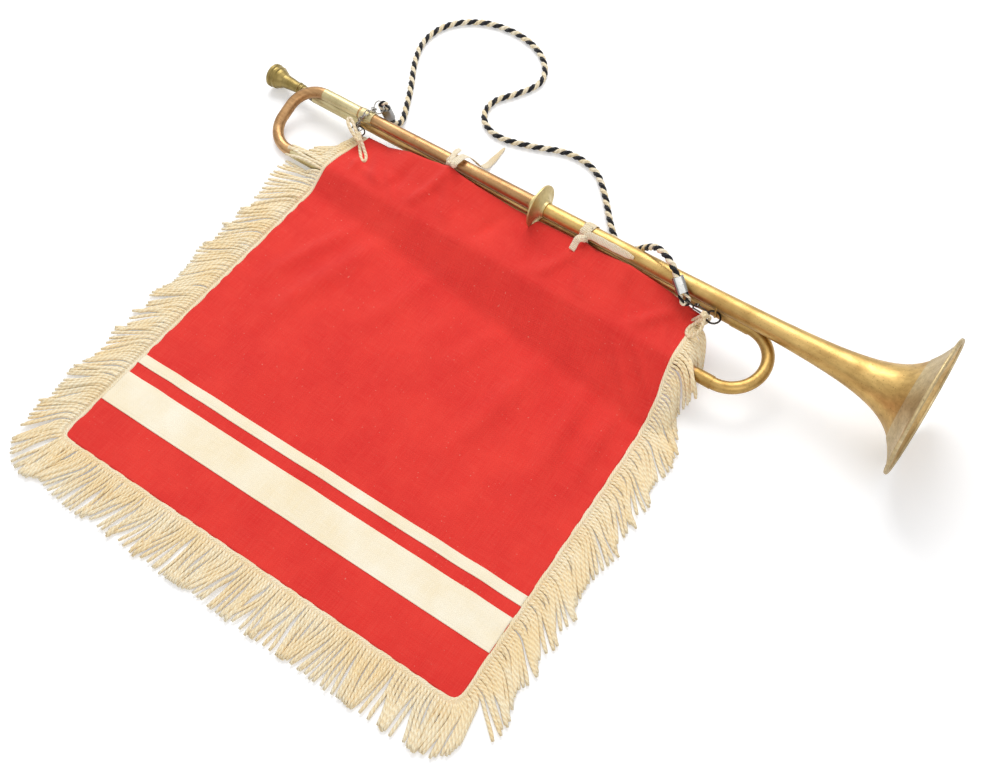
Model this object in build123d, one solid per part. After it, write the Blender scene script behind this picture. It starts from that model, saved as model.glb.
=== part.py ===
from build123d import *
import os
from math import acos, asin, atan2, cos, degrees, hypot, pi, radians, sin, sqrt

os.makedirs("parts", exist_ok=True)

# Where the origin lies, measured from the near end of the bell tube: under the middle of the part
origin_x = 289.51
origin_y = -201.33

# Tubing
tube_od = 11.4
tube_wall = 0.7
solder_gap = 0.05
sleeve_wall = 0.35
bow_spacing = 67.6
near_bow_reach = 27.3
near_bow_stub = 12.0
near_bow_low_run = 7.0
loop_roll = 20.3
bow_dip = 0.17
far_bow_x = 490.0
far_stub = 8.0

# Bell and its tube
mouth_x = 650.0
mouth_r = 60.1
throat_r = 6.3
flare_start = 29.5
flare_power = 1.6
bell_wall = 0.6
bell_seam_x = 265.0
garland_x = 637.0
garland_wall = 0.5
bead_r = 1.8
rim_wire_r = 1.05
bell_sleeve_len = 46.0
collar_gap = 2.0
collar_len = 16.0
collar_r = 6.7

# Mouthpipe
pipe_start_x = -16.4
pipe_near_drop = 12.8
pipe_far_drop = 15.7
pipe_near_side = 0.6
pipe_far_side = -0.6
pipe_sleeve_end = 45.0
receiver_len = 8.1
receiver_tail = 12.0
socket_r = 4.35
socket_taper = 0.02

# Mouthpiece
mouthpiece_x = -75.5
mouthpiece_r = 12.2
cup_r = 8.2
cup_depth = 11.0
throat_bore_r = 1.9
shank_gap = 0.03
shank_in = 17.0

# Boss over the seam of the bell tube
boss_r = 21.5
boss_hub_r = 8.5
boss_half = 8.0
boss_wall = 1.0

# Ferrules at the far bow
ferrule_len = 17.0
ferrule_wall = 0.45

# Chain and the rings at the near end
chain_links = 20
chain_reach = 9.5
link_len = 7.4
link_width = 4.8
link_wire = 1.1
chain_top_x = 59.0
chain_lean_y = 0.2
chain_lean_z = 0.5
cord_ring_r = 6.2
cord_ring_wire = 1.1
banner_ring_r = 6.8
banner_ring_wire = 1.4

# Eye, ring and snap hook at the far end
eye_x = 459.0
eye_wire = 2.0
eye_reach = 9.1
hang_ring_r = 6.6
hang_ring_wire = 1.8
hook_wire = 1.5
hook_room = 0.55
hook_r = 3.4
hook_eye_r = 3.3
hook_eye_len = 9.0
pin_r = 0.5
pin_gap = 0.05
cheek_wall = 0.6
cheek_gap = 0.15
gate_wire = 1.4

# Carrying cord
cord_d = 6.6
strand_d = 4.6
box_len = 15.0
box_width = 10.8
box_thick = 7.7
cord_in = 9.0
strand_in = 4.5
strand_close = 2.45
strand_open = 3.6
left_loop = 8.6
right_loop = 10.4

# Banner
cloth_t = 1.0
tape_t = 0.5
header_w = 5.0
header_t = 2.0
banner_low_y = -424.0
banner_corner_r = 9.0
drape_gap = 0.3
boss_notch_gap = 0.5
strand_pitch = 3.2
strand_w = 2.2
strand_len = 46.0
wide_band = 34.0
narrow_band = 10.0
band_rise = 46.0
band_space = 12.0

# Ties
tie_width = 11.0
tie_t = 1.0
tie_gap = 0.4

tube_r = tube_od / 2
bore_r = tube_r - tube_wall
sleeve_in = tube_r + solder_gap
sleeve_r = sleeve_in + sleeve_wall
bead_centre_r = mouth_r + bead_r
rim_r = bead_centre_r + bead_r

# The bell's rim and the lower tube's near end both stand on the surface
roll = radians(loop_roll)
pitch = asin((rim_r - tube_r - bow_dip - bow_spacing * sin(roll)) / mouth_x)
near_height = rim_r * cos(pitch) - mouth_x * sin(pitch)
horn = Location((0, 0, near_height), (0, -degrees(pitch), 0))

placed = {}


def save(name, *solids):
    """Write one sub-part, moved so that the origin lies under the middle of the part."""
    shape = solids[0] if len(solids) == 1 else Compound(children=list(solids))
    placed[name] = shape
    moved = shape.moved(Location((-origin_x, -origin_y, 0)))
    moved.label = name
    export_step(moved, f"parts/{name}.step")


def world(x, y, z):
    """A point given along the bell's axis, as a point of the standing part."""
    return (horn * Location((x, y, z))).position


def turned(points, axis_y=0.0, axis_z=0.0):
    """A ring-shaped solid from its outline of (x, radius) points."""
    outline = make_face(Polyline(*[(x, r) for x, r in points], close=True))
    solid = revolve(outline, Axis.X, 360)
    return solid.moved(Location((0, axis_y, axis_z)))


def bar(start, end, radius):
    """A round bar between two points."""
    start, end = Vector(*start), Vector(*end)
    line = end - start
    return extrude(Plane(origin=start, z_dir=line) * Circle(radius), line.length)


def pipe(start, end, outer, inner):
    """A round tube between two points."""
    start, end = Vector(*start), Vector(*end)
    line = end - start
    ring = Plane(origin=start, z_dir=line) * (Circle(outer) - Circle(inner))
    return extrude(ring, line.length)


def ring_at(centre, normal, major, minor):
    """A closed wire ring."""
    return Plane(origin=Vector(*centre), z_dir=Vector(*normal)) * Torus(major, minor)


def swept(path, radius):
    """A round wire along a path of lines and tangent arcs."""
    section = Plane(origin=path @ 0, z_dir=path % 0) * Circle(radius)
    return sweep(section, path=path)


# The loop's own directions: across to the lower tube, and out from the bell's axis
low_y = -bow_spacing * cos(roll)
low_z = -bow_spacing * sin(roll)


def pipe_axis(x):
    """The mouthpipe's axis at x, on the bell's own frame."""
    share = x / far_bow_x
    side = pipe_near_side + (pipe_far_side - pipe_near_side) * share
    drop = pipe_near_drop + (pipe_far_drop - pipe_near_drop) * share
    return (x, side, -drop)


# Bell section: a horn curve from the seam under the boss to the mouth
bell_end_x = mouth_x - 0.6


def bell_radius(x):
    """Outer radius of the bell section."""
    spread = (flare_start / (bell_end_x - x + flare_start)) ** flare_power
    return throat_r + (mouth_r - throat_r) * spread


def bell_outline(start, offset, count):
    """Points along the bell's curve, moved square to it by the offset."""
    points = []
    for k in range(count + 1):
        share = (k / count) ** 0.45
        x = start + (bell_end_x - start) * share
        step = 0.01
        slope = (bell_radius(x) - bell_radius(x - step)) / step
        length = hypot(1, slope)
        points.append((x - slope / length * offset, bell_radius(x) + offset / length))
    return points


def horn_shell(start, inner_offset, outer_offset, count):
    """A revolved shell that follows the bell's curve between two offsets."""
    outer = bell_outline(start, outer_offset, count)
    inner = bell_outline(start, inner_offset, count)
    outer_edge = Spline(*outer)
    inner_edge = Spline(*inner)
    ends = [Line(outer[0], inner[0]), Line(outer[-1], inner[-1])]
    return revolve(make_face([outer_edge, inner_edge] + ends), Axis.X, 360)


bell = horn * horn_shell(bell_seam_x, -bell_wall, 0, 22)
save("bell", bell)

garland_gap = 0.15
garland_band = horn_shell(garland_x, garland_gap, garland_gap + garland_wall, 10)
bead = Plane.YZ * Torus(bead_centre_r, bead_r)
bead = bead.moved(Location((mouth_x, 0, 0)))
wire_hole = (Plane.YZ * Torus(bead_centre_r, rim_wire_r + solder_gap)).moved(Location((mouth_x, 0, 0)))
last = bell_outline(garland_x, garland_gap, 10)[-1]
last_out = bell_outline(garland_x, garland_gap + garland_wall, 10)[-1]
lip_x, lip_r = (mouth_x - last[0]) * 0.35, bead_r * 0.45
lip = turned([last, last_out, (last_out[0] + lip_x, last_out[1] + lip_r), (last[0] + lip_x, last[1] + lip_r)])
garland = (garland_band + lip + bead) - wire_hole
save("bell_garland", horn * garland)
save("bell_rim_wire", horn * (Plane.YZ * Torus(bead_centre_r, rim_wire_r)).moved(Location((mouth_x, 0, 0))))

# Bell tube: a slow cone from the near sleeve to the seam
bell_tube_start = near_bow_stub + 0.3
seam_r = bell_radius(bell_seam_x)
bell_tube = turned([
    (bell_tube_start, bore_r), (bell_tube_start, tube_r), (bell_sleeve_len, tube_r),
    (bell_seam_x, seam_r), (bell_seam_x, seam_r - bell_wall), (bell_sleeve_len, bore_r)])
save("bell_tube", horn * bell_tube)

bell_sleeve = turned([
    (0, sleeve_in), (0, sleeve_r), (bell_sleeve_len, sleeve_r), (bell_sleeve_len, sleeve_in)])
save("bell_tube_sleeve", horn * bell_sleeve)


def tube_radius(x):
    """Outer radius of the bell tube."""
    share = max(0.0, (x - bell_sleeve_len) / (bell_seam_x - bell_sleeve_len))
    return tube_r + (seam_r - tube_r) * share


collar_x = bell_sleeve_len + collar_gap
collar_end = collar_x + collar_len
collar_in = tube_radius(collar_end) + solder_gap
collar = turned([
    (collar_x, collar_in), (collar_x, collar_r - 0.4), (collar_x + 1, collar_r),
    (collar_end - 4, collar_r), (collar_end, collar_r - 0.3), (collar_end, collar_in)])
save("bell_tube_collar", horn * collar)

# Mouthpipe, its sleeve, and the receiver that takes the mouthpiece
pipe_tube = pipe(pipe_axis(pipe_start_x), pipe_axis(far_bow_x - far_stub), tube_r, bore_r)
save("mouthpipe", horn * pipe_tube)
pipe_sleeve = pipe(pipe_axis(pipe_start_x), pipe_axis(pipe_sleeve_end), sleeve_r, sleeve_in)
save("mouthpipe_sleeve", horn * pipe_sleeve)

pipe_line = Vector(*pipe_axis(far_bow_x)) - Vector(*pipe_axis(0))
pipe_up = pipe_line.cross(Vector(0, 1, 0))
pipe_frame = Plane(origin=Vector(*pipe_axis(pipe_start_x)), x_dir=pipe_line, z_dir=pipe_up)


def on_pipe(points):
    """A turned piece on the mouthpipe's axis, from (distance past the pipe's end, radius) points."""
    return horn * (pipe_frame * turned(points))


def socket_radius(distance):
    """Bore of the receiver's taper."""
    return socket_r - socket_taper * (distance + receiver_len)


tail_r = bore_r - solder_gap
receiver = on_pipe([
    (-receiver_len, socket_radius(-receiver_len)), (-receiver_len, socket_r + 0.6),
    (-receiver_len + 1, socket_r + 0.9), (0, sleeve_r - 0.1), (0, tail_r), (receiver_tail, tail_r),
    (receiver_tail, socket_radius(receiver_tail))])
save("mouthpiece_receiver", receiver)

# Mouthpiece: rim, second moulding, cup, three turned beads and a tapered shank
rim_at = mouthpiece_x - pipe_start_x
shank_end = -receiver_len + shank_in
shank_base = -receiver_len - 1.2
bead_step = 4.2
cup_end = shank_base - 3 * bead_step - 2.0


def shank_radius(distance):
    """Outer radius of the shank, a running fit in the receiver."""
    return socket_radius(distance) - shank_gap


outline = [
    (rim_at, cup_r + 0.6), (rim_at + 0.5, mouthpiece_r - 1.2), (rim_at + 1.6, mouthpiece_r),
    (rim_at + 4.4, mouthpiece_r), (rim_at + 5.4, mouthpiece_r - 1.3), (rim_at + 6.4, mouthpiece_r - 1.5),
    (rim_at + 7.2, mouthpiece_r - 0.7), (rim_at + 9.6, mouthpiece_r - 0.7),
    (rim_at + 10.6, mouthpiece_r - 1.8),
    (rim_at + 13.5, mouthpiece_r - 2.6), (rim_at + 18.0, mouthpiece_r - 5.0), (cup_end, 5.4)]
for k in range(3):
    bead_at = cup_end + bead_step * k
    bead_top = 6.2 - 0.45 * k
    outline += [
        (bead_at + 0.9, bead_top), (bead_at + 2.6, bead_top), (bead_at + 3.4, bead_top - 1.0),
        (bead_at + bead_step, bead_top - 1.0)]
outline += [
    (shank_base, socket_radius(-receiver_len) - shank_gap), (-receiver_len, shank_radius(-receiver_len)),
    (shank_end, shank_radius(shank_end)), (shank_end, 2.9), (rim_at + 26, throat_bore_r),
    (rim_at + cup_depth + 2, throat_bore_r), (rim_at + cup_depth, throat_bore_r + 1.4),
    (rim_at + cup_depth * 0.7, cup_r * 0.72), (rim_at + cup_depth * 0.35, cup_r * 0.93),
    (rim_at + 1.2, cup_r)]
save("mouthpiece", on_pipe(outline))

# Near bow: two quarter turns with a short straight between them, in the tilted plane of the loop
loop_plane = Plane(origin=(0, 0, 0), x_dir=(1, 0, 0), z_dir=(0, sin(roll), -cos(roll)))
bow_in = near_bow_reach
near_path = FilletPolyline(
    (near_bow_stub, 0), (-bow_in, 0), (-bow_in, bow_spacing), (near_bow_low_run + near_bow_stub, bow_spacing),
    radius=bow_in)
near_path = loop_plane * near_path
across = near_path @ 1
if abs(across.Y - low_y) > 1:
    raise ValueError("the loop's plane faces the wrong way")
near_bow = swept(near_path, tube_r) - swept(near_path, bore_r)
save("near_bow", horn * near_bow)

low_near_x = near_bow_low_run + near_bow_stub + 0.3
low_sleeve_end = near_bow_low_run + bell_sleeve_len
low_tube = pipe((low_near_x, low_y, low_z), (far_bow_x - far_stub, low_y, low_z), tube_r, bore_r)
save("lower_tube", horn * low_tube)
low_sleeve = pipe((near_bow_low_run, low_y, low_z), (low_sleeve_end, low_y, low_z), sleeve_r, sleeve_in)
save("lower_tube_sleeve", horn * low_sleeve)

# Far bow: a half turn from the mouthpipe to the lower tube, with a short stub at each end
far_up = Vector(*pipe_axis(far_bow_x))
far_low = Vector(far_bow_x, low_y, low_z)
far_span = far_low - far_up
far_plane = Plane(origin=far_up, x_dir=(1, 0, 0), z_dir=Vector(1, 0, 0).cross(far_span))
far_r = far_span.length / 2
far_path = far_plane * FilletPolyline(
    (-far_stub + 0.3, 0), (far_r, 0), (far_r, far_span.length), (-far_stub + 0.3, far_span.length),
    radius=far_r - 0.01)
far_bow = swept(far_path, tube_r) - swept(far_path, bore_r)
save("far_bow", horn * far_bow)

ferrule_r = sleeve_in + ferrule_wall
ferrule_start = far_bow_x - ferrule_len
upper_ferrule = pipe(pipe_axis(ferrule_start), pipe_axis(far_bow_x), ferrule_r, sleeve_in)
save("upper_far_ferrule", horn * upper_ferrule)
lower_ferrule = pipe((ferrule_start, low_y, low_z), (far_bow_x, low_y, low_z), ferrule_r, sleeve_in)
save("lower_far_ferrule", horn * lower_ferrule)

# Boss: two spun saucers that meet at the rim, on hubs round the bell tube, holed for the mouthpipe
hub_in = seam_r + 0.15
pipe_hole = bar(pipe_axis(bell_seam_x - 20), pipe_axis(bell_seam_x + 20), tube_r + solder_gap)
for name, side in (("boss_near_saucer", -1), ("boss_far_saucer", 1)):
    hub_x = bell_seam_x + side * boss_half
    outer = [(hub_x, boss_hub_r), (hub_x - side * 2.4, boss_hub_r + 0.1)]
    rim_out = (bell_seam_x + side * 0.8, boss_r)
    waist = (bell_seam_x + side * 2.2, boss_hub_r + (boss_r - boss_hub_r) * 0.42)
    inner_hub = (bell_seam_x + side * (boss_half - 3.6), boss_hub_r)
    inner_waist = (waist[0] - side * boss_wall, waist[1] - 0.2)
    inner_rim = (bell_seam_x, boss_r - 1.6)
    saucer = make_face([
        Line((bell_seam_x + side * boss_half, hub_in), outer[0]), Line(outer[0], outer[1]),
        ThreePointArc(outer[1], waist, rim_out), Line(rim_out, (bell_seam_x, boss_r)),
        Line((bell_seam_x, boss_r), inner_rim), ThreePointArc(inner_rim, inner_waist, inner_hub),
        Line(inner_hub, (inner_hub[0], hub_in)), Line((inner_hub[0], hub_in), (hub_x, hub_in))])
    save(name, horn * (revolve(saucer, Axis.X, 360) - pipe_hole))

# Chain round both tubes: oval wire links, each turned a quarter against the last
chain_low = -pipe_near_drop - 0.4
chain_side = -chain_low


def lap_point(along):
    """A point on the chain's lap, which leans along the tubes."""
    half = pi * chain_reach
    lap = 2 * half + 2 * chain_side
    along = along % lap
    if along < half:
        turn = along / chain_reach
        y, z = chain_reach * cos(turn), chain_reach * sin(turn)
    elif along < half + chain_side:
        y, z = -chain_reach, half - along
    elif along < 2 * half + chain_side:
        turn = (along - half - chain_side) / chain_reach
        y, z = -chain_reach * cos(turn), chain_low - chain_reach * sin(turn)
    else:
        y, z = chain_reach, along - lap
    x = chain_top_x + chain_lean_y * y + chain_lean_z * (z - chain_reach)
    return Vector(x, y, z)


fine = 2000
flat_lap = 2 * pi * chain_reach + 2 * chain_side
lap_points = [lap_point(flat_lap * k / fine) for k in range(fine + 1)]
run = [0.0]
for k in range(fine):
    run.append(run[-1] + (lap_points[k + 1] - lap_points[k]).length)
link_end = (link_width - link_wire) / 2
link_mid = (link_len - link_width) / 2
link_path = Wire([
    Line((-link_mid, link_end), (link_mid, link_end)),
    ThreePointArc((link_mid, link_end), (link_mid + link_end, 0), (link_mid, -link_end)),
    Line((link_mid, -link_end), (-link_mid, -link_end)),
    ThreePointArc((-link_mid, -link_end), (-link_mid - link_end, 0), (-link_mid, link_end))])
link_section = Plane(origin=(-link_mid, link_end, 0), z_dir=(1, 0, 0)) * Circle(link_wire / 2)
link_solid = sweep(link_section, path=link_path)
link_planes = []
for k in range(chain_links):
    at = run[-1] * k / chain_links
    i = next(j for j in range(fine) if run[j + 1] > at)
    heading = (lap_points[(i + 1) % fine] - lap_points[(i - 1) % fine]).normalized()
    middle = Vector(lap_points[i].X, 0, max(min(lap_points[i].Z, 0), chain_low))
    outward = lap_points[i] - middle
    outward = (outward - heading * outward.dot(heading)).normalized()
    sideways = heading.cross(outward)
    sign = 1 if k % 2 else -1
    link_planes.append(Plane(origin=lap_points[i], x_dir=heading, z_dir=sideways + outward * sign))
save("tube_chain", *[horn * (plane * link_solid) for plane in link_planes])


def spot(point):
    """A point on the bell's frame, in the standing part."""
    return (horn * Location(tuple(point))).position


def heading_of(direction):
    """A direction on the bell's frame, in the standing part."""
    return spot(direction) - spot((0, 0, 0))


def say(name, point, direction=None):
    """Print a place, and a direction if there is one, in the part's own frame."""
    text = [round(point.X - origin_x, 3), round(point.Y - origin_y, 3), round(point.Z, 3)]
    if direction is not None:
        text += ["axis", round(direction.X, 4), round(direction.Y, 4), round(direction.Z, 4)]
    print(name, *text)


def threaded_ring(link, radius, wire, along):
    """A wire ring through a chain link, with its far point and the direction it swings about."""
    plane = link_planes[link]
    reach = (plane.x_dir * along + plane.y_dir).normalized()
    ring_plane = Plane(origin=plane.origin + reach * radius, z_dir=plane.z_dir.cross(reach))
    ring = ring_plane * Torus(radius, wire / 2)
    far = plane.origin + reach * 2 * radius
    return horn * ring, spot(plane.origin), spot(far), heading_of(plane.z_dir)


say("mouthpiece", spot(pipe_axis(mouthpiece_x)), heading_of(-pipe_line.normalized()))
cord_ring, cord_ring_at, cord_ring_far, cord_ring_axis = threaded_ring(1, cord_ring_r, cord_ring_wire, 0.8)
save("cord_ring_left", cord_ring)
say("cord ring", cord_ring_far, cord_ring_axis)
banner_ring, banner_ring_at, banner_ring_far, banner_ring_axis = threaded_ring(
    9, banner_ring_r, banner_ring_wire, -0.3)
save("banner_ring_left", banner_ring)
say("banner ring", banner_ring_far, banner_ring_axis)

# Eye: a staple across the groove between the bell and the mouthpipe
eye_y = -eye_reach
eye_path = FilletPolyline(
    (eye_x, -6.5, 0.0), (eye_x, eye_y, -2.6), (eye_x, eye_y, -13.2), (eye_x, -4.5, -17.0), radius=2.0)
eye_bar = swept(eye_path, eye_wire / 2)
bell_core = turned([
    (eye_x - 5, 0), (eye_x - 5, bell_radius(eye_x - 5) + solder_gap),
    (eye_x + 5, bell_radius(eye_x + 5) + solder_gap), (eye_x + 5, 0)])
pipe_core = bar(pipe_axis(eye_x - 5), pipe_axis(eye_x + 5), tube_r + solder_gap)
eye = eye_bar - bell_core - pipe_core
eye = max(eye.solids(), key=lambda piece: piece.volume)
save("banner_eye", horn * eye)

# Ring that hangs on the eye: its back edge lies in the groove, behind the staple's bar
hang_back = spot((eye_x, eye_y + eye_wire / 2 + 0.35 + hang_ring_wire / 2 + 1.3, -10.0))
hang_centre = hang_back - Vector(0, hang_ring_r, 0)
hanging_ring = Torus(hang_ring_r, hang_ring_wire / 2)
save("hanging_ring_right", Plane(origin=hang_centre, z_dir=(0, 0, 1)) * hanging_ring)
say("hanging ring", hang_back, Vector(1, 0, 0))
hang_left = hang_centre - Vector(hang_ring_r, 0, 0)


def cord_end(side, top, into, through, loop):
    """A flat ferrule and the doubled cord loop held in it."""
    into = into.normalized()
    across = through.cross(into).normalized()
    box_plane = Plane(origin=top, x_dir=across, z_dir=into)
    box = Box(box_width, box_thick, box_len, align=(Align.CENTER, Align.CENTER, Align.MIN))
    box = fillet(box.edges().filter_by(Axis.Z), 3.0)
    box -= Location((0, 0, box_len - cord_in - 0.4)) * Cylinder(
        cord_d / 2 + 0.05, cord_in + 1, align=(Align.CENTER, Align.CENTER, Align.MIN))
    box -= extrude(SlotCenterToCenter(2 * strand_close, strand_d + 0.1), strand_in + 0.1)
    save(f"cord_ferrule_{side}", box_plane * box)
    flat = Plane(origin=top, x_dir=across, z_dir=across.cross(into))
    path = flat * FilletPolyline(
        (-strand_close, strand_in), (-strand_close, -0.8), (-strand_open, -3.6), (-strand_open, -loop),
        (strand_open, -loop), (strand_open, -3.6), (strand_close, -0.8), (strand_close, strand_in),
        radius=[4, 4, strand_open - 0.02, strand_open - 0.02, 4, 4])
    save(f"cord_loop_{side}", swept(path, strand_d / 2))
    return top - into * loop


left_into = Vector(0.15, 0.21, -0.966).normalized()
left_gap = strand_d / 2 + cord_ring_wire / 2 + 0.25
left_top = cord_ring_far + left_into * (left_loop - left_gap)
cord_end("left", left_top, left_into, cord_ring_axis, left_loop)
say("left ferrule top", left_top, left_into)

right_into = Vector(-17.4, 9.3, 16.0).normalized()
right_tip = Vector(433.7, -17.4, 48.9)
hook_start = right_tip + right_into * (strand_d / 2 + hook_wire / 2 + 0.25)
hook_way = (hang_left - hook_start).normalized()
right_through = hook_way.cross(right_into).normalized()
cord_end("right", right_tip + right_into * right_loop, right_into, right_through, right_loop)
hook_long = (hang_left - hook_start).length + hang_ring_wire / 2 + hook_wire / 2 + hook_room

# Snap hook: an oval eye, a bow square to it, and a gate on a pin
hook_up = (Vector(0, 0, 1) - hook_way * hook_way.Z).normalized()
hook_plane = Plane(origin=hook_start, x_dir=hook_way, z_dir=hook_way.cross(hook_up))
eye_plane = Plane(origin=hook_start, x_dir=hook_way, z_dir=hook_way.cross(right_through))
wire_r = hook_wire / 2
eye_far = hook_eye_len - hook_eye_r
hook_eye_path = Wire([
    Line((hook_eye_r, hook_eye_r), (eye_far, hook_eye_r)),
    ThreePointArc((eye_far, hook_eye_r), (hook_eye_len, 0), (eye_far, -hook_eye_r)),
    Line((eye_far, -hook_eye_r), (hook_eye_r, -hook_eye_r)),
    ThreePointArc((hook_eye_r, -hook_eye_r), (0, 0), (hook_eye_r, hook_eye_r))])
hook_eye = sweep(
    Plane(origin=(hook_eye_r, hook_eye_r, 0), z_dir=(1, 0, 0)) * Circle(wire_r), path=hook_eye_path)
bow_centre = hook_long - hook_r
pin_at = hook_eye_len + 2.6
gate_end = bow_centre - 0.4
bow_start = FilletPolyline(
    (hook_eye_len - 0.1, -0.3), (hook_eye_len + 0.9, -hook_r), (bow_centre, -hook_r), radius=0.9)
bow_turn = ThreePointArc((bow_centre, -hook_r), (hook_long, 0), (bow_centre, hook_r))
bow = swept(Wire([*bow_start.edges(), bow_turn]), wire_r)
neck = swept(Line((hook_eye_len - 0.2, -0.3), (hook_eye_len + 1.7, hook_r - 1.0)), wire_r)
cheek_reach = gate_wire / 2 + cheek_gap
hub_r = 1.35
body = bow + neck
for side in (-1, 1):
    level = side * (cheek_reach + cheek_wall / 2)
    body += Location((pin_at, hook_r, level)) * Cylinder(hub_r, cheek_wall)
    body += Location((pin_at - 1.2, hook_r - 0.9, level)) * Box(2.4, 2.2, cheek_wall)
body += Location((pin_at - 2.3, hook_r - 1.3, 0)) * Box(1.0, 1.7, 2 * (cheek_reach + cheek_wall))
body -= Location((pin_at, hook_r, 0)) * Cylinder(hub_r + 0.25, 2 * cheek_reach)
body -= Location((pin_at, hook_r, 0)) * Cylinder(pin_r + 0.01, 8)
save("snap_hook_body", hook_plane * body + eye_plane * hook_eye)
gate = Location((pin_at, hook_r, 0)) * Cylinder(hub_r, gate_wire)
gate += swept(Line((pin_at, hook_r), (gate_end, hook_r)), gate_wire / 2)
gate -= Location((pin_at, hook_r, 0)) * Cylinder(pin_r + pin_gap, 8)
save("snap_hook_gate", hook_plane * gate)
pin_len = 2 * (cheek_reach + cheek_wall)
save("snap_hook_pin", hook_plane * (Location((pin_at, hook_r, 0)) * Cylinder(pin_r, pin_len)))
say("gate", (hook_plane * Location((pin_at, hook_r, 0))).position, hook_plane.z_dir)

# Carrying cord: straight runs and tangent arcs, on the surface between the two ferrules
lie = cord_d / 2
cord_start = left_top + left_into * (box_len - cord_in)
cord_end_at = right_tip + right_into * (right_loop + box_len - cord_in)
cord_points = [
    cord_start, cord_start + left_into * 19.6, (70.0, 33.0, lie + 0.1), (59.5, 54.0, lie),
    (44, 82, lie), (26, 109, lie), (13, 142, lie), (20, 177, lie), (50, 203, lie), (93, 210, lie),
    (132, 198, lie), (155, 168, lie), (143, 138, lie), (125, 113, lie), (131, 87, lie), (157, 74, lie),
    (194, 85, lie), (231, 103, lie), (266, 99, lie), (291, 76, lie), (319, 44, lie), (338, 28.5, 6),
    (354, 19, 24), (369, 14, 46), (383, 9, 65), (397, 2.5, 70.6),
    cord_end_at + right_into * 17.2, cord_end_at]
cord_points = [Vector(*point) if isinstance(point, tuple) else point for point in cord_points]
cord_radii = []
for before, here, after in zip(cord_points, cord_points[1:], cord_points[2:]):
    way_in, way_out = here - before, after - here
    bend = acos(way_in.normalized().dot(way_out.normalized()))
    cord_radii.append(0.45 * min(way_in.length, way_out.length) / sin(bend / 2) * cos(bend / 2))
print("cord radii", *[round(r, 1) for r in cord_radii])
cord_path = FilletPolyline(*cord_points, radius=cord_radii)
cord = swept(cord_path, cord_d / 2)
print("cord volume", round(cord.volume), "section by length", round(pi * lie ** 2 * cord_path.length))
save("carry_cord", cord)
for point in cord_points:
    say("cord point", point)


# Strips: a centre line of straight runs and tangent arcs, given a thickness
def strip_outline(points, radii, thickness):
    """Edges of a strip's section, in a plane's own two directions."""
    points = [Vector(*point) for point in points]
    runs = []
    start = points[0]
    for before, corner, after, radius in zip(points, points[1:], points[2:], radii):
        way_in, way_out = (corner - before).normalized(), (after - corner).normalized()
        bend = acos(max(-1, min(1, way_in.dot(way_out))))
        cut = radius * sin(bend / 2) / cos(bend / 2)
        side = 1 if way_in.X * way_out.Y - way_in.Y * way_out.X > 0 else -1
        arc_in, arc_out = corner - way_in * cut, corner + way_out * cut
        centre = arc_in + Vector(-way_in.Y, way_in.X) * (side * radius)
        middle = centre + (corner - centre).normalized() * radius
        runs.append((start, arc_in))
        runs.append((arc_in, middle, arc_out, centre))
        start = arc_out
    runs.append((start, points[-1]))
    sides = []
    for offset in (thickness / 2, -thickness / 2):
        edges = []
        for piece in runs:
            if len(piece) == 2:
                way = (piece[1] - piece[0]).normalized()
                step = Vector(-way.Y, way.X) * offset
                edges.append(Line(piece[0] + step, piece[1] + step))
                last_step = step
            else:
                first, middle, last, centre = piece
                radius = (first - centre).length
                grown = radius + (1 if last_step.dot(first - centre) > 0 else -1) * abs(offset)
                ends = [centre + (spot_at - centre).normalized() * grown for spot_at in (first, middle, last)]
                edges.append(ThreePointArc(*ends))
        sides.append(edges)
    near, far = sides
    return near + far + [Line(near[0] @ 0, far[0] @ 0), Line(near[-1] @ 1, far[-1] @ 1)]


def tape(plane, points, radii, thickness, width):
    """A flat tape that follows a line in the plane, as wide as given across it."""
    return extrude(plane * make_face(strip_outline(points, radii, thickness)), width / 2, both=True)


def upright(x):
    """The plane across the tubes at x in the standing part: first direction Y, second Z."""
    return Plane(origin=(x, 0, 0), x_dir=(0, 1, 0), z_dir=(1, 0, 0))


# Cloth: from the tubes it sags, rides over the lower tube and comes down to the surface
drape_axis_y = low_y
cloth_bottom = banner_low_y - 8.0


def drape_corners(x, thickness):
    """Corners and radii of the draped section at x."""
    tops = [(30, -12.0, 15.0), (62, -12.0, 16.0), (90, -9.8, 19.0), (119, -9.6, 32.0), (165, -9.9, 39.5),
            (200, -9.5, 35.0), (245, -9.6, 33.0), (300, -10.6, 38.0), (330, -10.6, 40.5), (372, -10.0, 49.0),
            (414, -11.0, 43.0), (440, -12.0, 36.0), (500, -14.0, 30.0)]
    i = max(k for k in range(len(tops) - 1) if tops[k][0] <= x)
    share = (x - tops[i][0]) / (tops[i + 1][0] - tops[i][0])
    top = [tops[i][j] + (tops[i + 1][j] - tops[i][j]) * share for j in (1, 2)]
    axis_z = near_height + low_z * cos(pitch) + x * sin(pitch)
    radius = sleeve_r + drape_gap + thickness / 2
    down_y = -88 - 0.085 * (x - 50)
    sag_y = -36.0
    over = (-60.0, axis_z + radius)
    sag_z = top[1] + (over[1] - top[1]) * (sag_y - top[0]) / (over[0] - top[0]) - 2.5
    floor_z = thickness / 2

    def tangent(from_y, from_z, sign):
        dy, dz = drape_axis_y - from_y, axis_z - from_z
        return atan2(dz, dy) + sign * asin(radius / hypot(dy, dz))

    first, second = tangent(sag_y, sag_z, -1), tangent(down_y, floor_z, 1)
    across = cos(first) * sin(second) - sin(first) * cos(second)
    along = ((down_y - sag_y) * sin(second) - (floor_z - sag_z) * cos(second)) / across
    ridge = (sag_y + along * cos(first), sag_z + along * sin(first))
    corners = [tuple(top), (sag_y, sag_z), ridge, (down_y, floor_z), (cloth_bottom, floor_z)]
    return corners, [25.0, radius, 20.0]


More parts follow.
